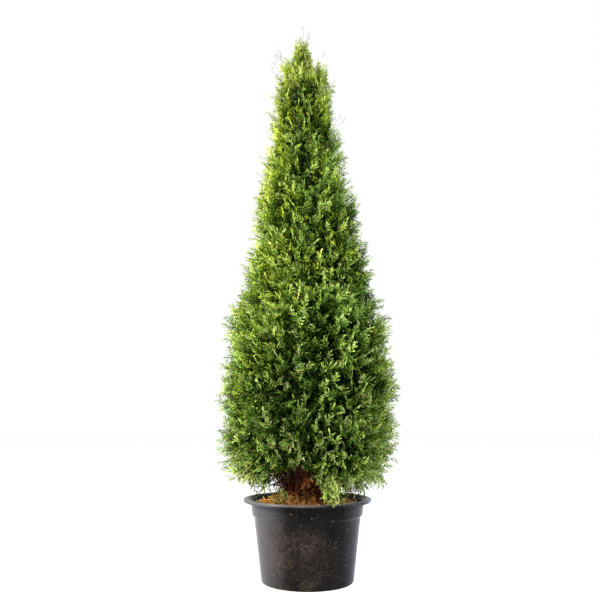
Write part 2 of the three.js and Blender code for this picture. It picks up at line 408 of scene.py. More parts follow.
@dataclass(frozen=True)
class ScaleLeaves:
    """Living thuja foliage: waxy scale leaves pressed flat, so it glints softly.

    The darkest tints lie in the crown's shade and hardly glint.
    """

    roughness: float = 0.5
    specular: float = 0.12
    shaded_specular: float = 0.02
    ior: float = 1.45
    shaded: tuple[Tint, ...] = (Tint.GREEN_0, Tint.GREEN_1, Tint.GOLD_0)

    def material(self, tint: Tint) -> Material:
        """Makes the plain material of one tint.

        Args:
            tint: which one.

        Returns:
            The material.
        """
        inputs = {
            "Base Color": linear(tint.value),
            "Roughness": self.roughness,
            "Specular IOR Level": self.shaded_specular if tint in self.shaded else self.specular,
            "IOR": self.ior,
        }
        return new_material(f"scale_leaves_{tint.name.lower()}", inputs)

    def materials(self) -> list[Material]:
        """One material for each tint, in slot order."""
        return [self.material(tint) for tint in TINT_ORDER]


class Measure(Enum):
    """What a layer of a finish can follow: an axis of the place, or how far its face looks up."""

    ACROSS = ("ShaderNodeTexCoord", "Object", "X")
    BACKWARDS = ("ShaderNodeTexCoord", "Object", "Y")
    HEIGHT = ("ShaderNodeTexCoord", "Object", "Z")
    FACING_UP = ("ShaderNodeNewGeometry", "Normal", "Z")


@dataclass(frozen=True)
class Noise:
    """A noise: its clouds' width, its finer detail, and how many widths they are drawn out up."""

    width: float
    detail: float
    roughness: float = 0.65
    drawn_out: float = 1


@dataclass(frozen=True)
class Fade:
    """How much of a layer shows: least where a measure is at its start, and most at its end."""

    measure: Measure | Noise | NodeSocket
    start: float
    end: float
    least: float = 0.0
    most: float = 1.0


@dataclass(frozen=True)
class Specks:
    """Round specks, one in each cell, faded in by the cell's random number and gathered in crowds.

    Edge is how far from the cell's own point a speck begins and is full, in cells.
    """

    cell: float
    picked: tuple[float, float]
    crowds: Fade
    edge: tuple[float, float] = (0.17, 0.09)


class Layers:
    """A finish in the making: colours laid over a first one, each by its own amount."""

    def __init__(self, name: str, colour: str) -> None:
        """Starts a material.

        Args:
            name: its name.
            colour: what lies under every layer.
        """
        self.material = new_material(name, {})
        self.tree = self.material.node_tree
        self.colour: object = linear(colour)
        self.place = add_node(self.tree, "ShaderNodeTexCoord").outputs["Object"]

    def read(self, measure: Measure | Noise | NodeSocket) -> NodeSocket:
        """Finds where a measure comes out.

        Args:
            measure: an axis, a noise, or the output of another layer.

        Returns:
            The output socket.
        """
        if isinstance(measure, Measure):
            kind, output, axis = measure.value
            vector = add_node(self.tree, kind).outputs[output]
            return add_node(self.tree, "ShaderNodeSeparateXYZ", {0: vector}).outputs[axis]
        if isinstance(measure, Noise):
            stretch = {"Vector": self.place, "Scale": (1, 1, 1 / measure.drawn_out)}
            inputs = {
                "Vector": add_node(self.tree, "ShaderNodeMapping", stretch).outputs[0],
                "Scale": 1 / measure.width,
                "Detail": measure.detail,
                "Roughness": measure.roughness,
            }
            return add_node(self.tree, "ShaderNodeTexNoise", inputs).outputs["Fac"]
        return measure

    def amount(self, *fades: Fade, within: NodeSocket | float = 1.0) -> NodeSocket:
        """The product of some fades and of another amount.

        Args:
            fades: how much shows along each measure.
            within: an amount that they cut down.

        Returns:
            The amount.
        """
        for fade in fades:
            inputs = {
                "Value": self.read(fade.measure),
                "From Min": fade.start,
                "From Max": fade.end,
                "To Min": fade.least,
                "To Max": fade.most,
            }
            factors = {0: add_node(self.tree, "ShaderNodeMapRange", inputs).outputs[0], 1: within}
            within = add_node(self.tree, "ShaderNodeMath", factors, operation="MULTIPLY").outputs[0]
        return within

    def specks(self, specks: Specks, *fades: Fade) -> NodeSocket:
        """The amount of one size of specks.

        Args:
            specks: their size and how many there are.
            fades: what else they follow.

        Returns:
            The amount.
        """
        inputs = {"Vector": self.place, "Scale": 1 / specks.cell}
        cells = add_node(self.tree, "ShaderNodeTexVoronoi", inputs)
        number = add_node(self.tree, "ShaderNodeSeparateColor", {0: cells.outputs["Color"]})
        near = Fade(cells.outputs["Distance"], *specks.edge)
        return self.amount(near, Fade(number.outputs[0], *specks.picked), specks.crowds, *fades)

    def lay(self, colour: str, *amounts: NodeSocket) -> None:
        """Lays one more colour over the others, by the greatest of some amounts.

        Args:
            colour: the colour.
            amounts: one amount or more.
        """
        most, *others = amounts
        for other in others:
            pair = {0: most, 1: other}
            most = add_node(self.tree, "ShaderNodeMath", pair, operation="MAXIMUM").outputs[0]
        inputs = {"Factor": most, "A": self.colour, "B": linear(colour)}
        self.colour = add_node(self.tree, "ShaderNodeMix", inputs, data_type="RGBA").outputs["Result"]

    def finish(self, relief: NodeSocket, strength: float, depth: float, inputs: Inputs) -> Material:
        """Gives the shader its colour, a relief and its other inputs.

        Args:
            relief: what lifts the surface.
            strength: how strongly it does.
            depth: how far.
            inputs: the shader's other inputs.

        Returns:
            The finished material.
        """
        lift = {"Height": relief, "Strength": strength, "Distance": depth}
        normal = add_node(self.tree, "ShaderNodeBump", lift).outputs[0]
        inputs = {"Base Color": self.colour, "Normal": normal, **inputs}
        plug(self.tree, self.tree.nodes["Principled BSDF"], inputs)
        return self.material


@dataclass(frozen=True)
class FibrousBark:
    """Thuja bark: thin red-brown strips that shred lengthwise and weather grey."""

    dark: str = "2e1a12"
    light: str = "7a5238"
    grey: str = "6f6258"
    strips: Noise = Noise(4 * MILLIMETRE, 4, 0.5, drawn_out=12)
    strip_levels: tuple[float, float] = (0.35, 0.68)
    strip_depth: float = 1.5 * MILLIMETRE
    weather: Noise = Noise(55.56 * MILLIMETRE, 2, 0.5)
    roughness: float = 0.85

    def material(self) -> Material:
        """Strips are a noise drawn out along the trunk, and a wider noise greys them.

        Returns:
            The material.
        """
        layers = Layers("shredding_thuja_bark", self.dark)
        strips = layers.read(self.strips)
        layers.lay(self.light, layers.amount(Fade(strips, *self.strip_levels)))
        layers.lay(self.grey, layers.read(self.weather))
        return layers.finish(strips, 0.7, self.strip_depth, {"Roughness": self.roughness})


@dataclass(frozen=True)
class YoungWood:
    """The skin of twigs and shoots: smooth and dull, too thin to show a pattern."""

    hex_code: str
    name: str
    roughness: float = 0.7
    specular: float = 0.1

    def material(self) -> Material:
        """Makes it plain.

        Returns:
            The material.
        """
        inputs = {
            "Base Color": linear(self.hex_code),
            "Roughness": self.roughness,
            "Specular IOR Level": self.specular,
        }
        return new_material(self.name, inputs)


@dataclass(frozen=True)
class MouldedContainer:
    """Black injection-moulded polypropylene, semi-gloss, with dried peat splashed on its front."""

    black: str = "0b0b0e"
    # Painted reflection: a grey laid on the left and right sides, where the bright surround shows in the
    # plastic.
    haze: str = "393a41"
    # Settled dust and a painted sheen of the sky, laid where faces look up.
    settled: str = "77767a"
    # Scuff marks and a painted highlight on the upper lip.
    scuffed: str = "8a898c"
    dust: str = "4c423a"
    speck: str = "b5ada3"
    left_haze: Fade = Fade(Measure.ACROSS, -0.075, -0.16)
    right_haze: Fade = Fade(Measure.ACROSS, 0.13, 0.19, most=0.7)
    settling: Fade = Fade(Measure.FACING_UP, 0.6, 1.0, most=0.45)
    scuffs: tuple[Fade, ...] = (
        Fade(Measure.HEIGHT, 0.2965, 0.306, most=0.5),
        Fade(Measure.ACROSS, 0.09, 0.03, least=0.1),
        Fade(Measure.ACROSS, -0.22, -0.12, least=0.2),
        Fade(Noise(41.67 * MILLIMETRE, 3), 0.3, 0.6, least=0.6),
    )
    splash: tuple[Fade, ...] = (
        Fade(Measure.BACKWARDS, -0.07, -0.18),
        Fade(Measure.HEIGHT, 0.29, 0.16),
        Fade(Measure.ACROSS, 0.12, -0.02, least=0.3),
    )
    clouds: Fade = Fade(Noise(110 * MILLIMETRE, 8), 0.36, 0.72)
    patches: Fade = Fade(Noise(9.09 * MILLIMETRE, 6), 0.36, 0.66)
    coarse: Specks = Specks(
        7.5 * MILLIMETRE, (0.62, 0.78), Fade(Noise(45.45 * MILLIMETRE, 3), 0.46, 0.58)
    )
    fine: Specks = Specks(
        4.2 * MILLIMETRE, (0.36, 0.66), Fade(Noise(83.33 * MILLIMETRE, 4), 0.42, 0.6)
    )
    fine_in_splash: tuple[float, ...] = (0.0, 0.5, 0.35, 1.0)
    clean_roughness: float = 0.24
    dusty_roughness: float = 0.6
    grain: Noise = Noise(2.38 * MILLIMETRE, 2)
    grain_depth: float = 0.5 * MILLIMETRE
    ior: float = 1.49
    specular: float = 0.045

    def material(self) -> Material:
        """Lays a painted reflection, dust with a painted sheen, scuff marks with a painted highlight,
        a film of dirt and specks over the black in turn.

        The left and right sides are laid in a lighter grey, a painted reflection of the bright
        surround. Faces that look up are laid lighter, partly settled dust and partly a painted sheen
        of the sky. The upper lip is laid pale, partly scuff marks and partly a painted highlight, most
        from left of the middle to the middle and least on the right. The film is thickest low down on
        the front, where rain splashes it, and makes it rougher. Specks of two sizes lie in crowds, the
        fine ones mostly within the splash.

        Returns:
            The material.
        """
        layers = Layers("moulded_black_polypropylene", self.black)
        # Painted reflection: the left and right sides are laid in a lighter grey.
        layers.lay(self.haze, layers.amount(self.left_haze), layers.amount(self.right_haze))
        # Settled dust and painted sheen: faces that look up are laid lighter grey.
        layers.lay(self.settled, layers.amount(self.settling))
        # Scuff marks and painted highlight: the upper lip is laid pale, least on the right.
        layers.lay(self.scuffed, layers.amount(*self.scuffs))
        splash = layers.amount(*self.splash)
        film = layers.amount(self.clouds, self.patches, within=splash)
        layers.lay(self.dust, film)
        fine = layers.specks(self.fine, Fade(splash, *self.fine_in_splash))
        layers.lay(self.speck, layers.specks(self.coarse), fine)
        roughness = layers.amount(Fade(film, 0.0, 1.0, self.clean_roughness, self.dusty_roughness))
        inputs = {"Roughness": roughness, "IOR": self.ior, "Specular IOR Level": self.specular}
        return layers.finish(layers.read(self.grain), 0.1, self.grain_depth, inputs)


@dataclass(frozen=True)
class PeatSubstrate:
    """Moist peat with bark crumbs: near black with brown fibres."""

    dark: str = "1d130c"
    light: str = "5a3a22"
    crumbs: Noise = Noise(6.25 * MILLIMETRE, 6, 0.7)
    crumb_levels: tuple[float, float] = (0.4, 0.66)
    crumb_depth: float = 4 * MILLIMETRE
    roughness: float = 0.95

    def material(self) -> Material:
        """Crumbs are a noise that runs between the two browns and lifts the surface.

        Returns:
            The material.
        """
        layers = Layers("peat_substrate", self.dark)
        crumbs = layers.read(self.crumbs)
        layers.lay(self.light, layers.amount(Fade(crumbs, *self.crumb_levels)))
        return layers.finish(crumbs, 0.9, self.crumb_depth, {"Roughness": self.roughness})


# What the frame gives


def node_triangles(name: str) -> Array:
    """The triangles of a CAD node.

    Args:
        name: the node.

    Returns:
        Corner points of shape (m, 3, 3).
    """
    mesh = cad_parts[name].data
    mesh.calc_loop_triangles()
    places = np.empty(len(mesh.vertices) * 3)
    mesh.vertices.foreach_get("co", places)
    corners = np.empty(len(mesh.loop_triangles) * 3, dtype=np.int32)
    mesh.loop_triangles.foreach_get("vertices", corners)
    return places.reshape(-1, 3)[corners].reshape(-1, 3, 3)


def names_starting(*starts: str) -> list[str]:
    """The CAD nodes whose names start with one of these words, in order."""
    return sorted(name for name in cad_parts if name.startswith(starts))


@dataclass(frozen=True)
class LimbPath:
    """A limb's centre line and thickness, ring by ring."""

    centres: Array
    radii: Array
    ring_gap = 2 * MILLIMETRE
    pole_share = 0.4

    @classmethod
    def from_node(cls, name: str, direction: Array) -> "LimbPath":
        """Reads a limb back from its CAD node.

        Its corner points are sorted along direction and split into rings where they jump. A
        ring's centre is the middle of its box, and its radius the mean distance from there of
        the points that aren't near the centre.

        Args:
            name: the CAD node.
            direction: what every ring is square to.

        Returns:
            The path from the lowest ring along direction to the highest.
        """
        points = np.unique(np.round(node_triangles(name).reshape(-1, 3), 6), axis=0)
        run = points @ direction
        order = np.argsort(run)
        points, run = points[order], run[order]
        splits = np.flatnonzero(np.diff(run) > cls.ring_gap) + 1
        rings = np.split(points, splits)
        centres = np.array([0.5 * (ring.min(axis=0) + ring.max(axis=0)) for ring in rings])
        reach = [np.linalg.norm(r - c, axis=1) for r, c in zip(rings, centres, strict=True)]
        radii = np.array([r[r > cls.pole_share * r.max()].mean() for r in reach])
        return cls(centres, radii)

    def at(self, shares: Array) -> tuple[Array, Array]:
        """Places along the limb, by straight steps.

        Args:
            shares: how far along they are, from 0 to 1.

        Returns:
            The centres, shape (n, 3), and the radii, shape (n,).
        """
        place = np.linspace(0, 1, len(self.centres))
        centres = np.stack([np.interp(shares, place, self.centres[:, k]) for k in range(3)], axis=1)
        return centres, np.interp(shares, place, self.radii)


class Leader:
    """The trunk as the frame has it, and the crown's outline round it."""

    level_gap = 0.04
    band_half = 0.05
    least_reach = 0.02

    def __init__(self) -> None:
        """Reads the trunk's rings and the greatest reach of the masses at each height."""
        self.path = LimbPath.from_node("trunk", UP)
        masses = [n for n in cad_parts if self.is_mass(n)]
        corners = np.concatenate([node_triangles(n).reshape(-1, 3) for n in masses])
        heights = corners[:, 2]
        self.levels = np.arange(heights.min(), heights.max(), self.level_gap)
        reach = self.distance(corners)
        bands = [reach[np.abs(heights - level) < self.band_half] for level in self.levels]
        self.reach = np.array([band.max(initial=0.0) or self.least_reach for band in bands])

    @staticmethod
    def is_mass(name: str) -> bool:
        """True for a mass of foliage."""
        return not name.startswith(("pot", "soil", "trunk", "stem_", "bough_"))

    def centre(self, heights: Array) -> Array:
        """The trunk's centre at some heights.

        Args:
            heights: the heights.

        Returns:
            Points, with one more axis than the heights.
        """
        rings = self.path.centres
        level = np.stack([np.interp(heights, rings[:, 2], rings[:, k]) for k in (0, 1)], axis=-1)
        return np.concatenate([level, heights[..., None]], axis=-1)

    def thickness(self, heights: Array) -> Array:
        """The trunk's radius at these heights."""
        return np.interp(heights, self.path.centres[:, 2], self.path.radii)

    def outward(self, points: Array) -> Array:
        """The level direction from the trunk to each point."""
        return unit((points - self.centre(points[..., 2])) * np.array([1.0, 1.0, 0.0]))

    def distance(self, points: Array) -> Array:
        """How far each point is from the trunk's centre, level."""
        return np.linalg.norm((points - self.centre(points[..., 2]))[..., :2], axis=-1)

    def share_out(self, points: Array) -> Array:
        """How far out each point is, as a share of the crown's reach at its height."""
        return self.distance(points) / np.interp(points[..., 2], self.levels, self.reach)


# Wood


@dataclass
class Wood:
    """The bark surfaces that replace the trunk, the stems and the boughs."""

    leader: Leader
    trunk_steps: int = 320
    trunk_sides: int = 44
    limb_steps: int = 26
    limb_sides: int = 12
    ridge_height: float = 1.3 * MILLIMETRE
    ridges: int = 17

    def relief(self, angle: Array, length: Array) -> Array:
        """Bark strips: sines round the trunk that wander with height and fade in and out.

        The strips' sine counts the ridges round the trunk, and a finer one counts 2.3 times as
        many. Both are shifted by the wander, a sum of two slow sines of the height. A third sine
        fades them by place, and they grow shallower up the trunk.

        Args:
            angle: angles round the trunk.
            length: lengths along it.

        Returns:
            The height to add to its radius.
        """
        wander = 0.5 * np.sin(length * 13) + 0.35 * np.sin(length * 31 + 1.1)
        strips = np.sin(self.ridges * angle + 2.4 * wander)
        fine = np.sin(2.3 * self.ridges * angle - 3.1 * wander + 9 * length)
        fade = 0.65 + 0.35 * np.sin(length * 57 + 3 * angle)
        thin = np.clip(1.15 - 0.5 * length, 0.1, 1)
        return self.ridge_height * thin * fade * (0.7 * strips + 0.3 * fine)

    def trunk(self, bark: Material) -> Object:
        """The leader with its root flare and bark relief.

        Args:
            bark: its material.

        Returns:
            The piece.
        """
        shares = np.linspace(0, 1, self.trunk_steps)
        centres, radii = self.leader.path.at(shares)
        soup = Soup()
        soup.add(*tubes(centres[None], radii[None], self.trunk_sides, self.relief))
        piece = soup.piece("trunk_bark", [bark])
        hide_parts("trunk")
        return piece

    def small_relief(self, angle: Array, length: Array) -> Array:
        """Shallow ridges on a thin limb, with a slow swelling along it."""
        return 0.4 * MILLIMETRE * (np.sin(5 * angle + 20 * length) + np.sin(47 * length))

    def limbs(
        self, names: Sequence[str], paths: Sequence[LimbPath], bark: Material, title: str
    ) -> Object:
        """Joins the bark of several limbs.

        Args:
            names: the CAD nodes that they replace.
            paths: their centre lines.
            bark: their material.
            title: the piece's name.

        Returns:
            The piece.
        """
        shares = np.linspace(0, 1, self.limb_steps)
        lines, widths = zip(*(path.at(shares) for path in paths), strict=True)
        soup = Soup()
        soup.add(*tubes(np.array(lines), np.array(widths), self.limb_sides, self.small_relief))
        piece = soup.piece(title, [bark])
        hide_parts(*names)
        return piece


# Sprays


@dataclass(frozen=True)
class SprayPattern:
    """A flat fern-like spray: forked branchlets left and right of a midrib, hooked forwards.

    Its midrib is 1 long, and every other length is a share of that. The lengths of a
    branchlet's blade, hook and fork are shares of its reach, as are the places where the hook
    and the fork leave it.
    """

    branchlets: int = 6
    ribs: int = 3
    reach: float = 0.5
    reach_by_place: Profile = Profile((0.0, 0.35, 1.0), (0.8, 1.0, 0.45))
    width: float = 0.09
    blade: float = 0.62
    hook: float = 0.58
    hook_from: float = 0.5
    hook_turn: float = 0.35
    fork: float = 0.42
    fork_from: float = 0.32
    fork_turn: float = 0.8
    splay_deg: float = 58
    tip_splay_deg: float = 34
    bend: float = 0.35
    curl: float = 1.0
    roll_deg: float = 45
    fold: float = 0.22
    rise: float = 0.35
    corner_at: float = 0.45
    half_kite_width: float = 1.6

    def blades(self, rng: Generator) -> tuple[Array, Indices]:
        """Lays out the blades of one spray in its plane, the midrib along +Y.

        A branchlet is one blade, one from its middle that hooks forwards and is painted lighter,
        partly as younger growth and partly as a painted highlight, and a short fork between them,
        painted a little lighter too; the midrib's tip is painted lighter as well. Branchlets are
        longest a third of the way up, and lean forwards more towards the tip. The midrib bends aside
        as the square of the way along.

        Args:
            rng: the source of its unevenness.

        Returns:
            One row a blade (start x, start y, angle from +Y, length, width), branchlets and
            midrib first, and how many steps lighter each blade is painted than the spray's tint, as
            younger growth and painted highlight.
        """
        count = self.branchlets
        bend = rng.uniform(-self.bend, self.bend)
        y = (np.arange(count) + rng.uniform(0.4, 0.75, count)) / count * 0.92
        side = np.where(np.arange(count) % 2 == 0, 1.0, -1.0) * rng.choice([-1, 1])
        uneven = rng.uniform(0.75, 1.25, size=(3, count))
        reach = self.reach * self.reach_by_place.at(y) * uneven[0]
        splay = self.splay_deg - (self.splay_deg - self.tip_splay_deg) * y
        angle = side * np.radians(splay) * uneven[1] + 2 * bend * y
        ahead = np.stack([np.sin(angle), np.cos(angle)])
        start = np.stack([bend * y * y, y])
        hooked = start + self.hook_from * reach * ahead
        forked = start + self.fork_from * reach * ahead
        width = np.full(count, self.width)
        main = (*start, angle, self.blade * reach, width)
        hook = (*hooked, angle * self.hook_turn, self.hook * reach * uneven[2], width)
        turned = angle - side * self.fork_turn
        fork = (*forked, turned, self.fork * reach * uneven[2], 0.85 * width)
        steps = np.arange(self.ribs) / self.ribs
        along_rib = np.full(self.ribs, 1.15 / self.ribs)
        rib = (bend * steps**2, steps, 2 * bend * steps, along_rib, 0.9 * width[: self.ribs])
        rows = np.concatenate([np.stack(part, axis=1) for part in (main, rib, hook, fork)])
        # Steps lighter: younger growth and a painted highlight at the hooks, forks and midrib tip.
        young_growth_and_highlight = np.repeat([0, 0, 2, 1], [count, self.ribs, count, count])
        young_growth_and_highlight[count + self.ribs - 1] = 2
        return rows, young_growth_and_highlight

    def mesh(self, rng: Generator) -> tuple[Array, Indices, Indices]:
        """Turns each blade into a kite folded along its midrib, and curls the whole spray.

        A kite has its root, a left and a right corner part of the way along, and its tip. It is
        rolled about its own length, and the plane is lifted by cup * x^2 + arch * y^2. Hooks and
        forks are half kites, with no right corner and a wider left one.

        Args:
            rng: the source of its unevenness.

        Returns:
            Points, triangles and how many steps lighter each triangle is painted, as younger growth and
            painted highlight.
        """
        rows, young_growth_and_highlight = self.blades(rng)
        full = self.branchlets + self.ribs
        rows[full:, 4] *= self.half_kite_width
        x, y, angle, length, width = rows.T
        forward = np.stack([np.sin(angle), np.cos(angle)], axis=1)
        across = np.stack([forward[:, 1], -forward[:, 0]], axis=1)
        roll = np.radians(rng.uniform(-self.roll_deg, self.roll_deg, len(rows)))
        half = (0.5 * width * np.cos(roll))[:, None] * across
        root = np.stack([x, y], axis=1)
        middle = root + self.corner_at * length[:, None] * forward
        tip = root + length[:, None] * forward
        flat = np.stack([root, middle - half, tip, middle + half], axis=1)
        cup, arch = rng.uniform(-self.curl, self.curl), rng.uniform(-0.6, 0.3) * self.curl
        lift = cup * flat[..., 0] ** 2 + arch * flat[..., 1] ** 2
        lean = 0.5 * width * np.sin(roll)
        fold = self.fold * width
        rise = rng.uniform(-self.rise, self.rise, len(rows)) * length
        lift = lift + np.stack([0 * lean, fold - lean, rise, fold + lean], axis=1)
        points = np.concatenate([flat, lift[..., None]], axis=-1).reshape(-1, 3)
        corner = 4 * np.arange(len(rows))[:, None]
        faces = np.concatenate([corner + [0, 2, 1], corner[:full] + [0, 3, 2]])
        return points, faces, np.concatenate([young_growth_and_highlight, young_growth_and_highlight[:full]])


@dataclass
class Sprays:
    """Where sprays stand: root, direction, the way their flat side faces, length and tint."""

    roots: Array
    ahead: Array
    facing: Array
    length: Array
    tint: Indices

    @classmethod
    def joined(cls, every: Sequence["Sprays"]) -> "Sprays":
        """Several sets of sprays as one."""
        return cls(*(np.concatenate([getattr(s, f.name) for s in every]) for f in fields(cls)))


class SprayMaker:
    """Places copies of a few spray patterns, as plain triangles."""

    def __init__(self, pattern: SprayPattern, kinds: int, seed: int) -> None:
        """Makes the patterns.

        Args:
            pattern: the proportions that they share.
            kinds: how many different ones.
            seed: the seed of their unevenness.
        """
        rng = np.random.default_rng(seed)
        self.kinds = [pattern.mesh(rng) for _ in range(kinds)]

    def place(self, sprays: Sprays, soup: Soup) -> None:
        """Adds the sprays' triangles, pattern by pattern in turn.

        Args:
            sprays: where they stand.
            soup: what they are added to.
        """
        across = unit(np.cross(sprays.ahead, sprays.facing))
        facing = np.cross(across, sprays.ahead)
        turn = np.stack([across, sprays.ahead, facing], axis=1) * sprays.length[:, None, None]
        for kind, (points, faces, young_growth_and_highlight) in enumerate(self.kinds):
            mine = np.arange(kind, len(sprays.roots), len(self.kinds))
            if not len(mine):
                continue
            placed = points[None] @ turn[mine] + sprays.roots[mine, None]
            offset = (np.arange(len(mine)) * len(points))[:, None, None]
            tint = sprays.tint[mine, None]
            # Younger growth and painted highlight: the tips of each spray are laid in lighter tints.
            slots = lighter(tint, young_growth_and_highlight[None])
            soup.add(placed.reshape(-1, 3), (faces[None] + offset).reshape(-1, 3), slots.ravel())


# Crown


class Ring(Enum):
    """The rings of masses from the container up, and how many pieces each ring's foliage makes."""

    SKIRT = (("skirt_", "rim_"), 2)
    LOWER = (("lower_",), 2)
    WAIST = (("waist_",), 2)
    MIDDLE = (("middle_",), 2)
    UPPER = (("upper_",), 2)
    SHOULDER = (("shoulder_",), 1)
    NECK = (("neck_",), 1)
    CREST = (("crest_", "spire_"), 1)


@dataclass
class Twigs:
    """Twigs of a mass: their paths, the normals of their sprays' planes, and how hollow it is."""

    paths: Array
    planes: Array
    hollow: Array


@dataclass(frozen=True)
class TintRule:
    """How light, golden and dull the sprays are.

    Lightness is painted light and shade: it counts tint levels up from the deepest painted
    shade. Profiles run with height, and falls are the lengths over which it drops by one level.
    """

    middle: float = 3.5
    overall: Profile = Profile((0.5, 1.1, 1.8, 2.0, 2.1), (0.05, 0.25, 0.05, 0.1, 0.6))
    sun_way: tuple[float, float, float] = (-0.85, -0.45, 0.0)
    sunny_side: Profile = Profile(
        (0.45, 0.6, 0.75, 0.95, 1.15, 1.4, 1.65, 2.0, 2.1),
        (0.25, -0.2, -0.24, 0.24, 0.7, 0.75, 0.1, 0.15, -0.4),
    )
    front: Profile = Profile(
        (0.36, 0.45, 0.55, 0.65, 0.8, 1.0, 1.15, 1.4, 1.93, 2.06),
        (0.0, 0.65, 0.45, -0.35, 0.35, 0.35, -0.2, -0.98, -0.85, 0.05),
    )
    right_side: float = 0.15
    patch_width: float = 0.2
    patches: float = 0.45
    thin_shade: float = 1.0
    hollow_shade: float = 2.0
    hollow_share_aside: float = 0.45
    hem_shade: Profile = Profile((0.3, 0.38), (0.9, 0.0))
    low_front: Profile = Profile((0.36, 0.45, 0.85, 1.1), (0.0, 1.0, 1.0, 0.0))
    low_tips: float = 0.4
    low_fall: float = 0.07
    depth_fall: float = 0.02
    twig_fall: float = 0.12
    twig_spread: float = 0.6
    spray_spread: float = 0.5
    calm: Profile = Profile((1.62, 1.8), (0.0, 1.0))
    calm_share: float = 0.55
    calm_light: float = 2.6
    golden: Profile = Profile((0.6, 1.1, 1.9, 2.0, 2.1), (0.03, 0.2, 0.65, 0.65, 0.9))
    golden_sides: Profile = Profile((0.7, 1.2), (0.0, 0.35))
    golden_patch_width: float = 0.25
    golden_patches: float = 0.25
    # Painted shade on the front and back: by height, how much of the golden share they lose.
    row: Profile = Profile((1.0, 1.4, 1.95, 2.1), (0.0, 1.0, 1.0, 0.0))
    row_loss: float = 0.6
    dull: Profile = Profile(
        (0.3, 0.36, 0.44, 0.6, 0.9, 1.85, 2.08),
        (0.95, 0.7, 0.35, 0.2, 0.0, 0.0, 0.45),
    )
    dull_thin: float = 0.4
    pale: Profile = Profile((0.5, 0.51, 1.9, 2.0), (0.3, 0.0, 0.0, 0.85))
    dead: float = 0.001
    dead_thin: float = 0.015


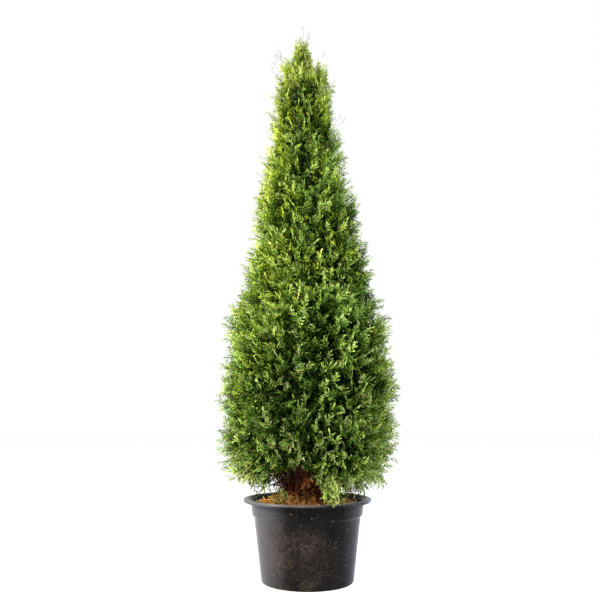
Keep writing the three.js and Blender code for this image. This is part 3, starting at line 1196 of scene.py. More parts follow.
@dataclass
class Crown:
    """Branches, twigs and sprays that fill the masses of the frame."""

    leader: Leader
    entries: Array
    entry_ways: Array
    rule: TintRule = TintRule()
    sprays_per_twig: int = 12
    spray_gap: float = 7.5 * MILLIMETRE
    spray_length: float = 0.042
    spray_sizes: Profile = Profile((0.4, 1.2, 1.9, 2.2), (1.0, 1.0, 0.85, 0.75))
    splay_deg: tuple[float, float] = (28, 55)
    dead_size: float = 0.6
    inner_per_twig: int = 2
    inner_length: float = 0.12
    inner_sizes: Profile = Profile((1.2, 1.9, 2.2), (1.0, 0.75, 0.4))
    inner_back: tuple[float, float] = (0.075, 0.14)
    inner_heights: tuple[float, float] = (0.5, 2.0)
    tip_gaps: Profile = Profile((0.3, 1.0, 1.8, 2.1, 2.2), (0.033, 0.033, 0.031, 0.024, 0.014))
    rim_gap_share: float = 0.6
    tries_per_tip: int = 9
    climbs: Profile = Profile(
        (0.3, 0.37, 0.44, 0.6, 1.2, 1.9, 2.1, 2.2),
        (-1.8, -1.2, -0.2, 0.4, 0.75, 1.4, 2.4, 4.0),
    )
    window_climb: float = 0.7
    low_gaps: Profile = Profile((0.36, 0.5), (0.4, 0.0))
    right_side: Profile = Profile((0.12, 0.2), (0.0, 1.0))
    right_low: Profile = Profile((0.45, 0.6), (1.0, 0.0))
    right_gaps: float = 0.45
    twigs_per_branch: int = 7
    grouping_rounds: int = 6
    branch_radius: float = 3.2 * MILLIMETRE
    twig_radius: float = 1.5 * MILLIMETRE
    twig_tip_radius: float = 0.7 * MILLIMETRE
    limb_end_radius: float = 4 * MILLIMETRE
    limb_reach: float = 0.3
    limb_top: float = 1.3
    hollow_width: float = 0.045
    hollow_depth: float = 0.045
    hollow_stretch: Profile = Profile((0.6, 1.4), (0.8, 0.3))
    window_middle: float = -0.062
    window_half_width: float = 0.088
    window_top: float = 0.425
    thin_angle_deg: float = -97
    thin_height: float = 0.62
    thin_spread: float = 0.13
    thin_shape: tuple[float, float, float] = (1.1, 0.8, 0.6)
    cleft_line: Profile = Profile((0.7, 1.0, 1.3, 1.6, 1.8, 2.0), (-0.03, 0.03, 0.04, -0.01, 0.01, 0.03))
    cleft_strength: Profile = Profile((0.95, 1.25, 2.0, 2.1), (0.0, 1.0, 1.0, 0.0))
    cleft_width: float = 0.045
    crown_slope: float = 0.15
    branch_steps: int = 8
    twig_steps: int = 13
    twig_ring_step: int = 3

    def tips(self, name: str, rng: Generator) -> tuple[Array, Array]:
        """Picks where twigs end on the outside of a mass.

        Points are dealt evenly over its triangles and sifted, and then taken in turn unless one
        taken before is too near. They stand closer towards the top and in the spray that hangs
        over the rim. Those of the crest, the tip and that spray need only be clear of the trunk.

        Args:
            name: the mass.
            rng: the source of chance.

        Returns:
            Points on the surface and the surface's normals there.
        """
        corners = node_triangles(name)
        cross = np.cross(corners[:, 1] - corners[:, 0], corners[:, 2] - corners[:, 0])
        area = 0.5 * np.linalg.norm(cross, axis=1)
        gap = float(self.tip_gaps.at(corners[..., 2].mean()))
        count = int(self.tries_per_tip * area.sum() / gap**2)
        picked = rng.choice(len(area), count, p=area / area.sum())
        blend = rng.dirichlet((1, 1, 1), count)
        points = np.einsum("nk,nkd->nd", blend, corners[picked])
        normals = unit(cross)[picked]
        if name.startswith(("crest_", "spire_", "rim_")):
            keep = self.leader.distance(points) > 0.012
        else:
            keep = self.sift(name, points, normals, rng)
        points, normals = points[keep], normals[keep]
        share = self.rim_gap_share if name.startswith("rim_") else 1.0
        gaps = self.tip_gaps.at(points[:, 2]) * share
        chosen: list[int] = []
        for i in range(len(points)):
            nearest = np.linalg.norm(points[chosen] - points[i], axis=1).min(initial=np.inf)
            if nearest > gaps[i]:
                chosen.append(i)
        return points[chosen], normals[chosen]

    def sift(self, name: str, points: Array, normals: Array, rng: Generator) -> NDArray[np.bool_]:
        """Which points of a mass may end a twig.

        They face out and lie far out, or lie on the underside of the hem. Fewer are kept in
        deep hollows, in the thin patch, low down, and lowest on the right.

        Args:
            name: the mass.
            points: points on its surface.
            normals: the surface's normals there.
            rng: the source of chance.

        Returns:
            True for each point that is kept.
        """
        out = np.einsum("nd,nd->n", normals, self.leader.outward(points))
        share = self.leader.share_out(points)
        keep = (out > 0.15) & (share > 0.74)
        hem = name.startswith("skirt_") and name != "skirt_window"
        keep |= (normals[:, 2] < -0.4) & (share > 0.35) & hem
        keep &= (self.hollows(points) < 0.85) | (rng.uniform(size=len(points)) < 0.5)
        keep &= rng.uniform(size=len(points)) > 0.4 * self.thin(points)
        sparse = self.low_gaps.at(points[:, 2])
        right = self.right_side.at(points[:, 0])
        sparse += self.right_gaps * right * self.right_low.at(points[:, 2])
        return keep & (rng.uniform(size=len(points)) > sparse)

    def growth(self, points: Array, normals: Array, hang: float, rng: Generator) -> Array:
        """The way each twig grows at its tip: outwards, and up more steeply near the top.

        At the hem it droops instead.

        Args:
            points: the tips.
            normals: the surface normals there.
            hang: how much more it climbs than usual.
            rng: the source of chance.

        Returns:
            Unit directions.
        """
        climb = self.climbs.at(points[:, 2]) + hang
        out = 0.75 * self.leader.outward(points) + 0.35 * normals
        wild = rng.normal(size=points.shape) * 0.28
        return unit(out + climb[:, None] * UP + wild)

    def window(self, points: Array) -> NDArray[np.bool_]:
        """True where the front stays open and shows the foot of the stems."""
        aside = np.abs(points[..., 0] - self.window_middle) < self.window_half_width
        return aside & (points[..., 1] < 0) & (points[..., 2] < self.window_top)

    def thin(self, points: Array) -> Array:
        """How near points are to the thin old patch low on the front: a bell round its middle.

        Args:
            points: shape (..., 3).

        Returns:
            From 0 to 1, shape (...).
        """
        angle = math.radians(self.thin_angle_deg)
        height = np.full(points.shape[:-1], self.thin_height)
        reach = np.interp(self.thin_height, self.leader.levels, self.leader.reach)
        middle = self.leader.centre(height) + reach * np.array([math.cos(angle), math.sin(angle), 0])
        gap = (points - middle) * np.array(self.thin_shape)
        return np.exp(-((gap / self.thin_spread) ** 2).sum(axis=-1))

    def cleft(self, points: Array) -> Array:
        """How near points are to the winding cleft up the front: a bell across its line.

        Args:
            points: shape (..., 3).

        Returns:
            From 0 to 1, shape (...).
        """
        height = points[..., 2]
        gap = (points[..., 0] - self.cleft_line.at(height)) / self.cleft_width
        return np.exp(-(gap**2)) * (points[..., 1] < 0) * self.cleft_strength.at(height)

    def hollows(self, points: Array) -> Array:
        """Where the surface sinks: patches of a noise, drawn out upwards in the upper half.

        The thin patch and the cleft sink more than the rest.

        Args:
            points: shape (..., 3).

        Returns:
            From 0 to 1, shape (...).
        """
        stretch = self.hollow_stretch.at(points[..., 2])
        squeezed = points * np.stack([np.ones_like(stretch)] * 2 + [stretch], axis=-1)
        patches = smooth_noise(squeezed, self.hollow_width, SEED + 2) * 1.5 - 0.3
        return np.clip(patches + 0.55 * self.thin(points) + 0.5 * self.cleft(points), 0, 1)

    def depth(self, points: Array, tips: Array) -> Array:
        """How far inside the crown's surface points are, where tips are near that surface.

        It is the distance further in than the tip, and a share of the height below it, because
        the crown widens downwards.

        Args:
            points: shape (n, m, 3).
            tips: shape (n, 3).

        Returns:
            Depths of shape (n, m), none below 0.
        """
        inward = self.leader.distance(tips)[:, None] - self.leader.distance(points)
        below = tips[:, None, 2] - points[..., 2]
        return np.maximum(inward, 0) + self.crown_slope * np.maximum(below, 0)

    def roots(self, middles: Array) -> tuple[Array, Array, Array]:
        """Where the branch to each group of twigs leaves the wood.

        Low down that is the nearest end of a stem or bough, and higher up, or where none is
        near, a place on the trunk that lies below the group by most of its distance out.

        Args:
            middles: the middles of the groups, shape (n, 3).

        Returns:
            Points, directions and the wood's radii there.
        """
        reach = self.leader.distance(middles)
        floor = self.leader.path.centres[0, 2] + 0.05
        height = np.maximum(middles[:, 2] - 0.8 * reach - 0.07, floor)
        points = self.leader.centre(height)
        ways = unit(self.leader.outward(middles) + 0.8 * UP)
        girth = self.leader.thickness(height) * 0.5
        gaps = np.linalg.norm(self.entries[None] - middles[:, None], axis=2)
        nearest = gaps.argmin(axis=1)
        by_limb = (gaps.min(axis=1) < self.limb_reach) & (middles[:, 2] < self.limb_top)
        points = np.where(by_limb[:, None], self.entries[nearest], points)
        ways = np.where(by_limb[:, None], self.entry_ways[nearest], ways)
        return points, ways, np.where(by_limb, self.limb_end_radius, girth)

    def groups(self, points: Array, rng: Generator) -> Indices:
        """Shares the tips among branches: each goes to the nearest of a few moving middles.

        Args:
            points: the tips.
            rng: the source of chance.

        Returns:
            The number of its group for each tip.
        """
        wanted = max(1, round(len(points) / self.twigs_per_branch))
        middles = points[rng.choice(len(points), wanted, replace=False)]
        for _ in range(self.grouping_rounds):
            nearest = np.linalg.norm(points[:, None] - middles[None], axis=2).argmin(axis=1)
            middles = np.array([points[nearest == k].mean(axis=0) for k in np.unique(nearest)])
        return np.linalg.norm(points[:, None] - middles[None], axis=2).argmin(axis=1)

    def tuck(self, name: str, points: Array) -> Array:
        """How far twigs stop short of their tips' places, in spray lengths.

        The tip leans left, so there and on the crest it is less on the left than on the right.

        Args:
            name: the mass.
            points: the tips' places.

        Returns:
            One number for each place.
        """
        rightwards = self.leader.outward(points)[:, 0]
        if name.startswith("spire_"):
            return 0.5 * rightwards
        if name.startswith("rim_"):
            return np.full(len(points), 1.1)
        if name.startswith("crest_"):
            return 0.6 + 0.4 * rightwards
        return np.full(len(points), 0.7)

    def grow_mass(self, name: str, rng: Generator, wood: Soup) -> Twigs:
        """Grows one mass's wood: a branch to each group of tips, and a twig to each tip.

        Args:
            name: the mass.
            rng: the source of chance.
            wood: gets the branches and twigs.

        Returns:
            The twigs.
        """
        surface, normals = self.tips(name, rng)
        hang = self.window_climb if name == "skirt_window" else 0.0
        ways = self.growth(surface, normals, hang, rng)
        hollow = self.hollows(surface)
        sunk = hollow * self.hollow_depth + rng.uniform(-0.01, 0.008, len(surface))
        sunk *= np.interp(self.leader.distance(surface), [0.05, 0.12], [0.0, 1.0])
        ends = surface - self.leader.outward(surface) * sunk[:, None]
        ends -= ways * (self.spray_length * self.tuck(name, surface))[:, None]
        forks = self.branches(ends, wood, rng)
        run = np.linalg.norm(ends - forks, axis=1, keepdims=True)
        leave = forks + unit(ends - forks + 0.15 * rng.normal(size=ends.shape) * run) * run * 0.35
        paths = bezier(forks, leave, ends - ways * run * 0.35, ends, self.twig_steps)
        radii = np.linspace(self.twig_radius, self.twig_tip_radius, self.twig_steps)
        radii = np.broadcast_to(radii, paths.shape[:2])
        step = self.twig_ring_step
        wood.add(*tubes(paths[:, ::step], radii[:, ::step], 3), 1)
        tangential = np.cross(UP, self.leader.outward(ends))
        planes = unit(tangential + 0.7 * rng.normal(size=ends.shape))
        return Twigs(paths, planes, hollow)

    def branches(self, ends: Array, wood: Soup, rng: Generator) -> Array:
        """Grows a sagging branch towards the middle of each group of twig ends.

        Args:
            ends: where twigs end.
            wood: gets the branches.
            rng: the source of chance.

        Returns:
            For each twig, where its branch ends and it begins.
        """
        nearest = self.groups(ends, rng)
        middles = np.array([ends[nearest == k].mean(axis=0) for k in range(nearest.max() + 1)])
        starts, first_ways, girth = self.roots(middles)
        run = np.linalg.norm(middles - starts, axis=1, keepdims=True)
        forks = starts + 0.55 * (middles - starts) - 0.08 * run * UP
        leave = starts + first_ways * run * 0.22
        arrive = forks - unit(middles - forks) * run * 0.15
        paths = bezier(starts, leave, arrive, forks, self.branch_steps)
        taper = np.linspace(1, 0, self.branch_steps)
        thick = np.minimum(girth, self.branch_radius)[:, None]
        radii = self.twig_radius * 1.3 * (1 - taper) + thick * taper
        wood.add(*tubes(paths, radii, 6), 0)
        return forks[nearest]

    def outer_sprays(self, twigs: Twigs, rng: Generator) -> Sprays:
        """Sets sprays along the outer part of each twig, left and right in turn.

        The first stands at the tip and goes straight on. The others splay from the twig in its
        plane, each turned a little about itself, and the dead ones have shrunk. None hangs in
        the opening at the foot.

        Args:
            twigs: what they stand on.
            rng: the source of chance.

        Returns:
            The sprays.
        """
        count, each = len(twigs.paths), self.sprays_per_twig
        order = np.arange(each)
        back = order * self.spray_gap * rng.uniform(0.85, 1.15, size=(count, each))
        roots, ahead = along(twigs.paths, back)
        plane = twigs.planes[:, None]
        normal = unit(plane - ahead * (plane * ahead).sum(-1, keepdims=True))
        aside = np.cross(normal, ahead)
        sign = np.where(order % 2 == 0, 1.0, -1.0) * (order > 0)
        splay = np.radians(rng.uniform(*self.splay_deg, size=(count, each)))
        turn = np.tan(splay)[..., None] * sign[None, :, None] * aside
        ahead = unit(ahead + turn + 0.25 * rng.normal(size=roots.shape) + 0.12 * UP)
        facing = unit(normal + 0.6 * rng.normal(size=roots.shape))
        small = self.spray_sizes.at(roots[..., 2])
        shape = np.interp(order, [0, 1, 4, each], [1.0, 0.72, 1.0, 1.15])
        length = self.spray_length * small * shape * rng.uniform(0.8, 1.2, size=(count, each))
        tint = self.tints(roots, twigs, back, rng)
        length = np.where(tint >= tint_slot(Tint.STRAW), self.dead_size * length, length)
        shown = ~self.window(roots + 0.5 * length[..., None] * ahead)
        return Sprays(roots[shown], ahead[shown], facing[shown], length[shown], tint[shown])

    def inner_sprays(self, twigs: Twigs, rng: Generator) -> Sprays:
        """Sets broader, shaded sprays further back, their flat sides facing out.

        There are none at the foot or near the tip.

        Args:
            twigs: what they stand on.
            rng: the source of chance.

        Returns:
            The sprays.
        """
        count, each = len(twigs.paths), self.inner_per_twig
        back = rng.uniform(*self.inner_back, size=(count, each))
        roots, _ = along(twigs.paths, back)
        out = self.leader.outward(roots)
        wild = rng.normal(size=roots.shape)
        ahead = unit(np.cross(out, wild) + 0.5 * UP)
        facing = unit(out + 0.35 * rng.normal(size=roots.shape))
        small = self.inner_sizes.at(roots[..., 2])
        length = self.inner_length * small * rng.uniform(0.85, 1.15, size=(count, each))
        shades = [tint_slot(Tint.GREEN_0), tint_slot(Tint.GREEN_1)]
        tint = rng.choice(shades, (count, each), p=[0.8, 0.2])
        low, high = self.inner_heights
        kept = (roots[..., 2] > low) & (roots[..., 2] < high)
        return Sprays(roots[kept], ahead[kept], facing[kept], length[kept], tint[kept])

    def lightness(self, roots: Array, twigs: Twigs, back: Array, rng: Generator) -> Array:
        """How light each spray is painted, in tint levels: painted light and shade.

        It is painted lighter or darker with height on the sunny side and on the front by profiles of
        their own. It falls with the depth inside the crown, along the twig, in hollows, in the thin
        patch and at the hem, as painted shade, and changes from twig to twig. Low on the front the
        tips are painted light over painted dark depths, and near the top the painted light of the
        left and right sides is evened out.

        Args:
            roots: where the sprays stand, shape (n, m, 3).
            twigs: what they stand on.
            back: how far back from the tips of their twigs they stand, shape (n, m).
            rng: the source of chance.

        Returns:
            Levels of shape (n, m), not yet rounded.
        """
        rule, height, out = self.rule, roots[..., 2], self.leader.outward(roots)
        aside = np.abs(out[..., 0])
        # Painted light and shade: each level is a lighter or darker copy of the same green.
        light = rule.middle + rule.overall.at(height)
        # Painted sunlight on the side turned to the key lamp.
        light = light + out @ unit(np.array(rule.sun_way)) * rule.sunny_side.at(height)
        light = light + rule.front.at(height) * (1 - aside)
        light = light + rule.right_side * np.clip(out[..., 0], 0, 1)
        light = light + rule.patches * smooth_noise(roots, rule.patch_width, SEED)
        light = light - rule.thin_shade * self.thin(roots)
        shade = rule.hollow_shade * twigs.hollow[:, None]
        light = light - shade * (1 - rule.hollow_share_aside * aside)
        light = light - rule.hem_shade.at(height)
        low_front = rule.low_front.at(height) * (1 - aside)
        light = light + low_front * (rule.low_tips - back / rule.low_fall)
        # Painted shade, deeper inside the crown and further back along the twig.
        light = light - self.depth(roots, twigs.paths[:, -1]) / rule.depth_fall
        light = light - back / rule.twig_fall
        light = light + rng.normal(size=(len(height), 1)) * rule.twig_spread
        light = light + rng.normal(size=height.shape) * rule.spray_spread
        calm = rule.calm_share * aside * rule.calm.at(height)
        return light + calm * (rule.calm_light - light)

    def golden(self, roots: Array) -> Array:
        """The share of sprays in the golden family: most at the top, and on the sides and the sunny
        side, partly as painted sunlight.

        The front and back have fewer, as painted shade.

        Args:
            roots: where the sprays stand, shape (n, m, 3).

        Returns:
            Shares of shape (n, m).
        """
        rule, height, out = self.rule, roots[..., 2], self.leader.outward(roots)
        aside = np.abs(out[..., 0])
        sunny = out @ unit(np.array(rule.sun_way))
        share = rule.golden.at(height) + (0.5 * sunny + 0.5 * aside) * rule.golden_sides.at(height)
        patches = rule.golden_patches * smooth_noise(roots, rule.golden_patch_width, SEED + 5)
        return (share + patches) * (1 - rule.row_loss * rule.row.at(height) * (1 - aside))

    def tints(self, roots: Array, twigs: Twigs, back: Array, rng: Generator) -> Indices:
        """Deals tints by spray: a level of painted light and shade and a family of green, then olive
        ones and dead ones.

        The hem, the thin patch and the tip turn olive, paler at the foot and the tip, except
        where it is deep shade. A few sprays are dead, most of them in the thin patch.

        Args:
            roots: where the sprays stand, shape (n, m, 3).
            twigs: what they stand on.
            back: how far back from the tips of their twigs they stand, shape (n, m).
            rng: the source of chance.

        Returns:
            Slot numbers of shape (n, m).
        """
        rule, height, thin = self.rule, roots[..., 2], self.thin(roots)
        light = self.lightness(roots, twigs, back, rng)
        level = np.clip(np.round(light), 0, LEVELS - 3).astype(np.int64)
        tint = level + LEVELS * (rng.uniform(size=height.shape) < self.golden(roots))
        dull = rule.dull.at(height) + rule.dull_thin * thin
        olive = (rng.uniform(size=height.shape) < dull) & (level > 1)
        pale = rng.uniform(size=height.shape) < rule.pale.at(height)
        tint[olive] = np.where(pale, tint_slot(Tint.PALE_OLIVE), tint_slot(Tint.OLIVE))[olive]
        dead = rng.uniform(size=height.shape) < rule.dead + rule.dead_thin * thin
        tint[dead] = rng.choice([tint_slot(Tint.RUST), tint_slot(Tint.DEAD)], dead.sum(), p=[0.2, 0.8])
        return tint

    def build(self, leaves: Sequence[Material], wood_skins: Sequence[Material]) -> list[Object]:
        """Grows every ring and makes its foliage a piece or two, and all its wood another.

        Args:
            leaves: the tints' materials.
            wood_skins: the materials of branches and of twigs.

        Returns:
            The pieces.
        """
        outer = SprayMaker(SprayPattern(), kinds=14, seed=SEED + 1)
        inner = SprayMaker(SprayPattern(branchlets=5, width=0.17, roll_deg=15, curl=0.4), 6, SEED + 3)
        wood = Soup()
        pieces = []
        for ring in Ring:
            starts, parts = ring.value
            for part, names in enumerate(np.array_split(names_starting(*starts), parts)):
                foliage = Soup()
                for name in names:
                    rng = np.random.default_rng([SEED, *name.encode()])
                    twigs = self.grow_mass(name, rng, wood)
                    outer.place(self.outer_sprays(twigs, rng), foliage)
                    inner.place(self.inner_sprays(twigs, rng), foliage)
                title = f"foliage_{ring.name.lower()}_{part + 1}"
                piece = foliage.piece(title, leaves, smooth=False)
                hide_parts(*(str(name) for name in names))
                pieces.append(piece)
        branches = wood.piece("branches_and_twigs", wood_skins)
        return [*pieces, branches]


# Foot and wisps


@dataclass
class Foot:
    """Dead twigs and foliage round the stems, under the green crown, and a few green sprays."""

    leader: Leader
    rng: Generator = field(default_factory=lambda: np.random.default_rng(SEED + 11))
    uprights: int = 60
    upright_radius: float = 1.8 * MILLIMETRE
    twigs: int = 150
    twig_radii: tuple[float, float] = (1.56 * MILLIMETRE, 0.72 * MILLIMETRE)
    steps: int = 9
    soil_top: float = 0.288
    low: float = 0.292
    twig_low: float = 0.37
    upright_low: float = 0.46
    high: float = 0.52
    sprays_per_twig: int = 7
    spray_gap: float = 0.011
    spray_length: float = 0.05
    torn: tuple[float, float, float] = (-0.01, -0.12, 0.365)
    torn_size: float = 0.055
    fresh: int = 4
    fresh_place: tuple[float, float] = (-0.088, -0.13)
    fresh_spread: tuple[float, float, float] = (0.012, 0.02, 0.0)
    hanging: int = 14
    hanging_places: tuple[tuple[float, float, float], ...] = (
        (0.188, 0.0, 0.378),
        (-0.165, -0.06, 0.402),
    )
    hanging_spread: tuple[float, float, float] = (0.015, 0.045, 0.008)
    shortest: float = 0.045
    longest_fresh: float = 0.08
    longest_hanging: float = 0.075

    def paths(self) -> Array:
        """Twigs that leave the wood, arch out and droop, the cubic curves' handles leaning up.

        They reach less far to the front.

        Returns:
            Paths of shape (twigs, steps, 3).
        """
        count = self.twigs
        out = level_ways(self.rng.uniform(0, 2 * np.pi, count))
        start_height = self.rng.uniform(self.twig_low, self.high, count)
        fall = self.rng.uniform(0.02, 0.13, count)
        reach = self.rng.uniform(0.05, 0.14, count) * (1 - 0.35 * np.clip(-out[:, 1], 0, 1))
        starts = self.leader.centre(start_height) + self.rng.uniform(0.01, 0.05, count)[:, None] * out
        end_height = np.maximum(start_height - fall, self.low + 0.01)
        ends = self.leader.centre(end_height) + reach[:, None] * out
        ends += 0.02 * self.rng.normal(size=ends.shape) * np.array([1.0, 1.0, 0.0])
        leave = starts + 0.35 * reach[:, None] * (out + 0.5 * UP)
        arrive = ends - 0.35 * reach[:, None] * (out - 0.8 * UP)
        return bezier(starts, leave, arrive, ends, self.steps)

    def upright_paths(self) -> Array:
        """Thin bare stems that rise from the soil into the crown: bent curves leaning outwards.

        Returns:
            Paths of shape (uprights, steps, 3).
        """
        count = self.uprights
        out = level_ways(self.rng.uniform(0, 2 * np.pi, count))
        near, far = self.rng.uniform(0.04, 0.13, count), self.rng.uniform(0.08, 0.17, count)
        starts = self.leader.centre(np.full(count, self.soil_top)) + near[:, None] * out
        end_height = self.rng.uniform(self.upright_low, self.high, count)
        ends = self.leader.centre(end_height) + far[:, None] * out
        leave = starts + 0.06 * UP + 0.02 * self.rng.normal(size=ends.shape)
        arrive = ends - 0.06 * UP + 0.02 * self.rng.normal(size=ends.shape)
        return bezier(starts, leave, arrive, ends, self.steps)

    def withered(self, paths: Array) -> Sprays:
        """Withered sprays along the outer half of each dead twig, most of them near black.

        Those round the torn patch on the front are rust and straw.

        Args:
            paths: the twigs.

        Returns:
            The sprays.
        """
        size = (len(paths), self.sprays_per_twig)
        back = np.arange(size[1]) * self.spray_gap * self.rng.uniform(0.8, 1.2, size=size)
        roots, ahead = along(paths, back)
        ahead = unit(ahead + 0.55 * self.rng.normal(size=roots.shape) - 0.35 * UP)
        facing = unit(self.leader.outward(roots) + 0.8 * self.rng.normal(size=roots.shape))
        length = self.spray_length * self.rng.uniform(0.7, 1.2, size=size)
        kinds = [tint_slot(t) for t in (Tint.UMBER, Tint.DEAD, Tint.RUST, Tint.STRAW)]
        tint = self.rng.choice(kinds, (len(paths), 1), p=[0.47, 0.38, 0.12, 0.03])
        tint = np.where(self.rng.uniform(size=size) < 0.15, tint_slot(Tint.DEAD), tint)
        torn = np.linalg.norm(roots - np.array(self.torn), axis=2) < self.torn_size
        bright = [tint_slot(Tint.RUST), tint_slot(Tint.STRAW)]
        tint = np.where(torn, self.rng.choice(bright, size, p=[0.75, 0.25]), tint)
        roots[..., 2] = np.maximum(roots[..., 2], self.low)
        flat = (part.reshape(-1, 3) for part in (roots, ahead, facing))
        return Sprays(*flat, length.ravel(), tint.ravel())

    def green(self) -> Sprays:
        """A few fresh sprays come up from the soil, and shaded ones hang at the hem on both sides.

        Returns:
            The sprays.
        """
        groups = [self.fresh, 2 * self.hanging]
        spread = self.rng.normal(size=(self.fresh, 3)) * np.array(self.fresh_spread)
        fresh = np.array([*self.fresh_place, self.low]) + spread
        up = unit(UP + 0.35 * self.rng.normal(size=fresh.shape))
        spread = self.rng.normal(size=(groups[1], 3)) * np.array(self.hanging_spread)
        shaded = np.repeat(self.hanging_places, self.hanging, axis=0) + spread
        wild = 0.35 * self.rng.normal(size=shaded.shape)
        down = unit(0.25 * self.leader.outward(shaded) - UP + wild)
        facing = unit(self.rng.normal(size=(sum(groups), 3)))
        longest = np.repeat([self.longest_fresh, self.longest_hanging], groups)
        length = self.rng.uniform(self.shortest, longest)
        dim = [tint_slot(t) for t in (Tint.GREEN_1, Tint.GREEN_2, Tint.OLIVE)]
        shades = self.rng.choice(dim, groups[1], p=[0.35, 0.4, 0.25])
        tint = np.concatenate([np.full(self.fresh, tint_slot(Tint.OLIVE)), shades])
        return Sprays(np.concatenate([fresh, shaded]), np.concatenate([up, down]), facing, length, tint)

    def build(self, leaves: Sequence[Material], skin: Material) -> list[Object]:
        """Makes the foliage one piece and its twigs and the thin stems another.

        Args:
            leaves: the tints' materials.
            skin: the twigs' material.

        Returns:
            The two pieces.
        """
        paths = self.paths()
        twigs = Soup()
        radii = np.broadcast_to(np.linspace(*self.twig_radii, self.steps), paths.shape[:2])
        twigs.add(*tubes(paths, radii, 5))
        uprights = self.upright_paths()
        twigs.add(*tubes(uprights, np.full(uprights.shape[:2], self.upright_radius), 6))
        wood = twigs.piece("dead_twigs", [skin])
        sprays = Sprays.joined([self.withered(paths), self.green()])
        foliage = Soup()
        SprayMaker(SprayPattern(), 8, SEED + 12).place(sprays, foliage)
        piece = foliage.piece("dead_foliage", leaves, smooth=False)
        return [wood, piece]


@dataclass
class Wisps:
    """Fine bare shoots that stand out from the upper crown and from its hem on the left.

    The first stand at the tip, the next at the upper left, and the last at the hem. Each has a
    few side shoots.
    """

    leader: Leader
    rng: Generator = field(default_factory=lambda: np.random.default_rng(SEED + 21))
    shoots: int = 50
    top: int = 5
    left: int = 8
    low: int = 8
    heights: tuple[float, float] = (1.6, 2.2)
    left_heights: tuple[float, float] = (1.98, 2.2)
    low_heights: tuple[float, float] = (0.37, 0.42)
    left_fan: float = 0.7
    low_fan: float = 0.25
    below_tip: float = 0.03
    above_tip: float = 0.055
    lengths: tuple[float, float] = (0.03, 0.06)
    long_share: float = 1.6
    rises: Profile = Profile((0.4, 0.5, 1.5, 2.2), (0.1, 0.9, 0.9, 1.8))
    radius: float = 0.55 * MILLIMETRE
    steps: int = 7
    side_shoots: int = 3
    side_lengths: tuple[float, float] = (0.008, 0.018)

    def places(self) -> tuple[Array, Array]:
        """Where the shoots leave the crown.

        Returns:
            Their heights, and their angles from +X.
        """
        height = self.rng.uniform(*self.heights, self.shoots)
        angle = self.rng.uniform(0, 2 * np.pi, self.shoots)
        height[: self.top] = self.leader.path.centres[-1, 2] - self.below_tip
        height[-self.low :] = self.rng.uniform(*self.low_heights, self.low)
        angle[-self.low :] = np.pi + self.rng.uniform(-self.low_fan, self.low_fan, self.low)
        left = slice(self.top, self.top + self.left)
        height[left] = self.rng.uniform(*self.left_heights, self.left)
        angle[left] = np.pi + self.rng.uniform(-self.left_fan, self.left_fan, self.left)
        return height, angle

    def paths(self) -> tuple[Array, Array]:
        """The shoots as bowed cubic curves that rise more steeply near the top.

        Returns:
            Paths of shape (shoots, steps, 3), and lengths of shape (shoots, 1).
        """
        top = slice(self.top)
        height, angle = self.places()
        out = level_ways(angle)
        reach = np.interp(height, self.leader.levels, self.leader.reach) * 0.86
        reach[top] = 0.006
        starts = self.leader.centre(height) + reach[:, None] * out
        length = self.rng.uniform(*self.lengths, self.shoots)[:, None]
        length[: self.top + self.left] *= self.long_share
        rise = self.rises.at(height)[:, None]
        way = unit(out + rise * UP + 0.15 * self.rng.normal(size=out.shape))
        way[top] = unit(0.25 * out[top] + UP)
        bow = 0.1 * length * self.rng.normal(size=out.shape)
        ends = starts + way * length
        ceiling = self.leader.path.centres[-1, 2] + self.above_tip
        ends[top, 2] = np.minimum(ends[top, 2], ceiling)
        leave = starts + 0.4 * way * length + bow
        arrive = ends - 0.3 * way * length + bow
        return bezier(starts, leave, arrive, ends, self.steps), length

    def build(self, skin: Material) -> Object:
        """Grows the shoots and their side shoots, and makes them one piece.

        Args:
            skin: their material.

        Returns:
            The piece.
        """
        paths, length = self.paths()
        radii = np.broadcast_to(np.linspace(1, 0.5, self.steps) * self.radius, paths.shape[:2])
        soup = Soup()
        soup.add(*tubes(paths, radii, 4))
        size = (self.shoots, self.side_shoots)
        roots, ahead = along(paths, self.rng.uniform(0.1, 0.75, size=size) * length)
        way = unit(ahead + 0.9 * self.rng.normal(size=ahead.shape))
        side = way * self.rng.uniform(*self.side_lengths, (*size, 1))
        twiglets = np.stack([roots, roots + 0.5 * side, roots + side + 0.003 * UP], axis=2)
        twiglets = twiglets.reshape(-1, 3, 3)
        thin = np.broadcast_to(np.array([0.8, 0.7, 0.5]) * self.radius, twiglets.shape[:2])
        soup.add(*tubes(twiglets, thin, 4))
        piece = soup.piece("bare_shoots", [skin])
        return piece


# Container and soil


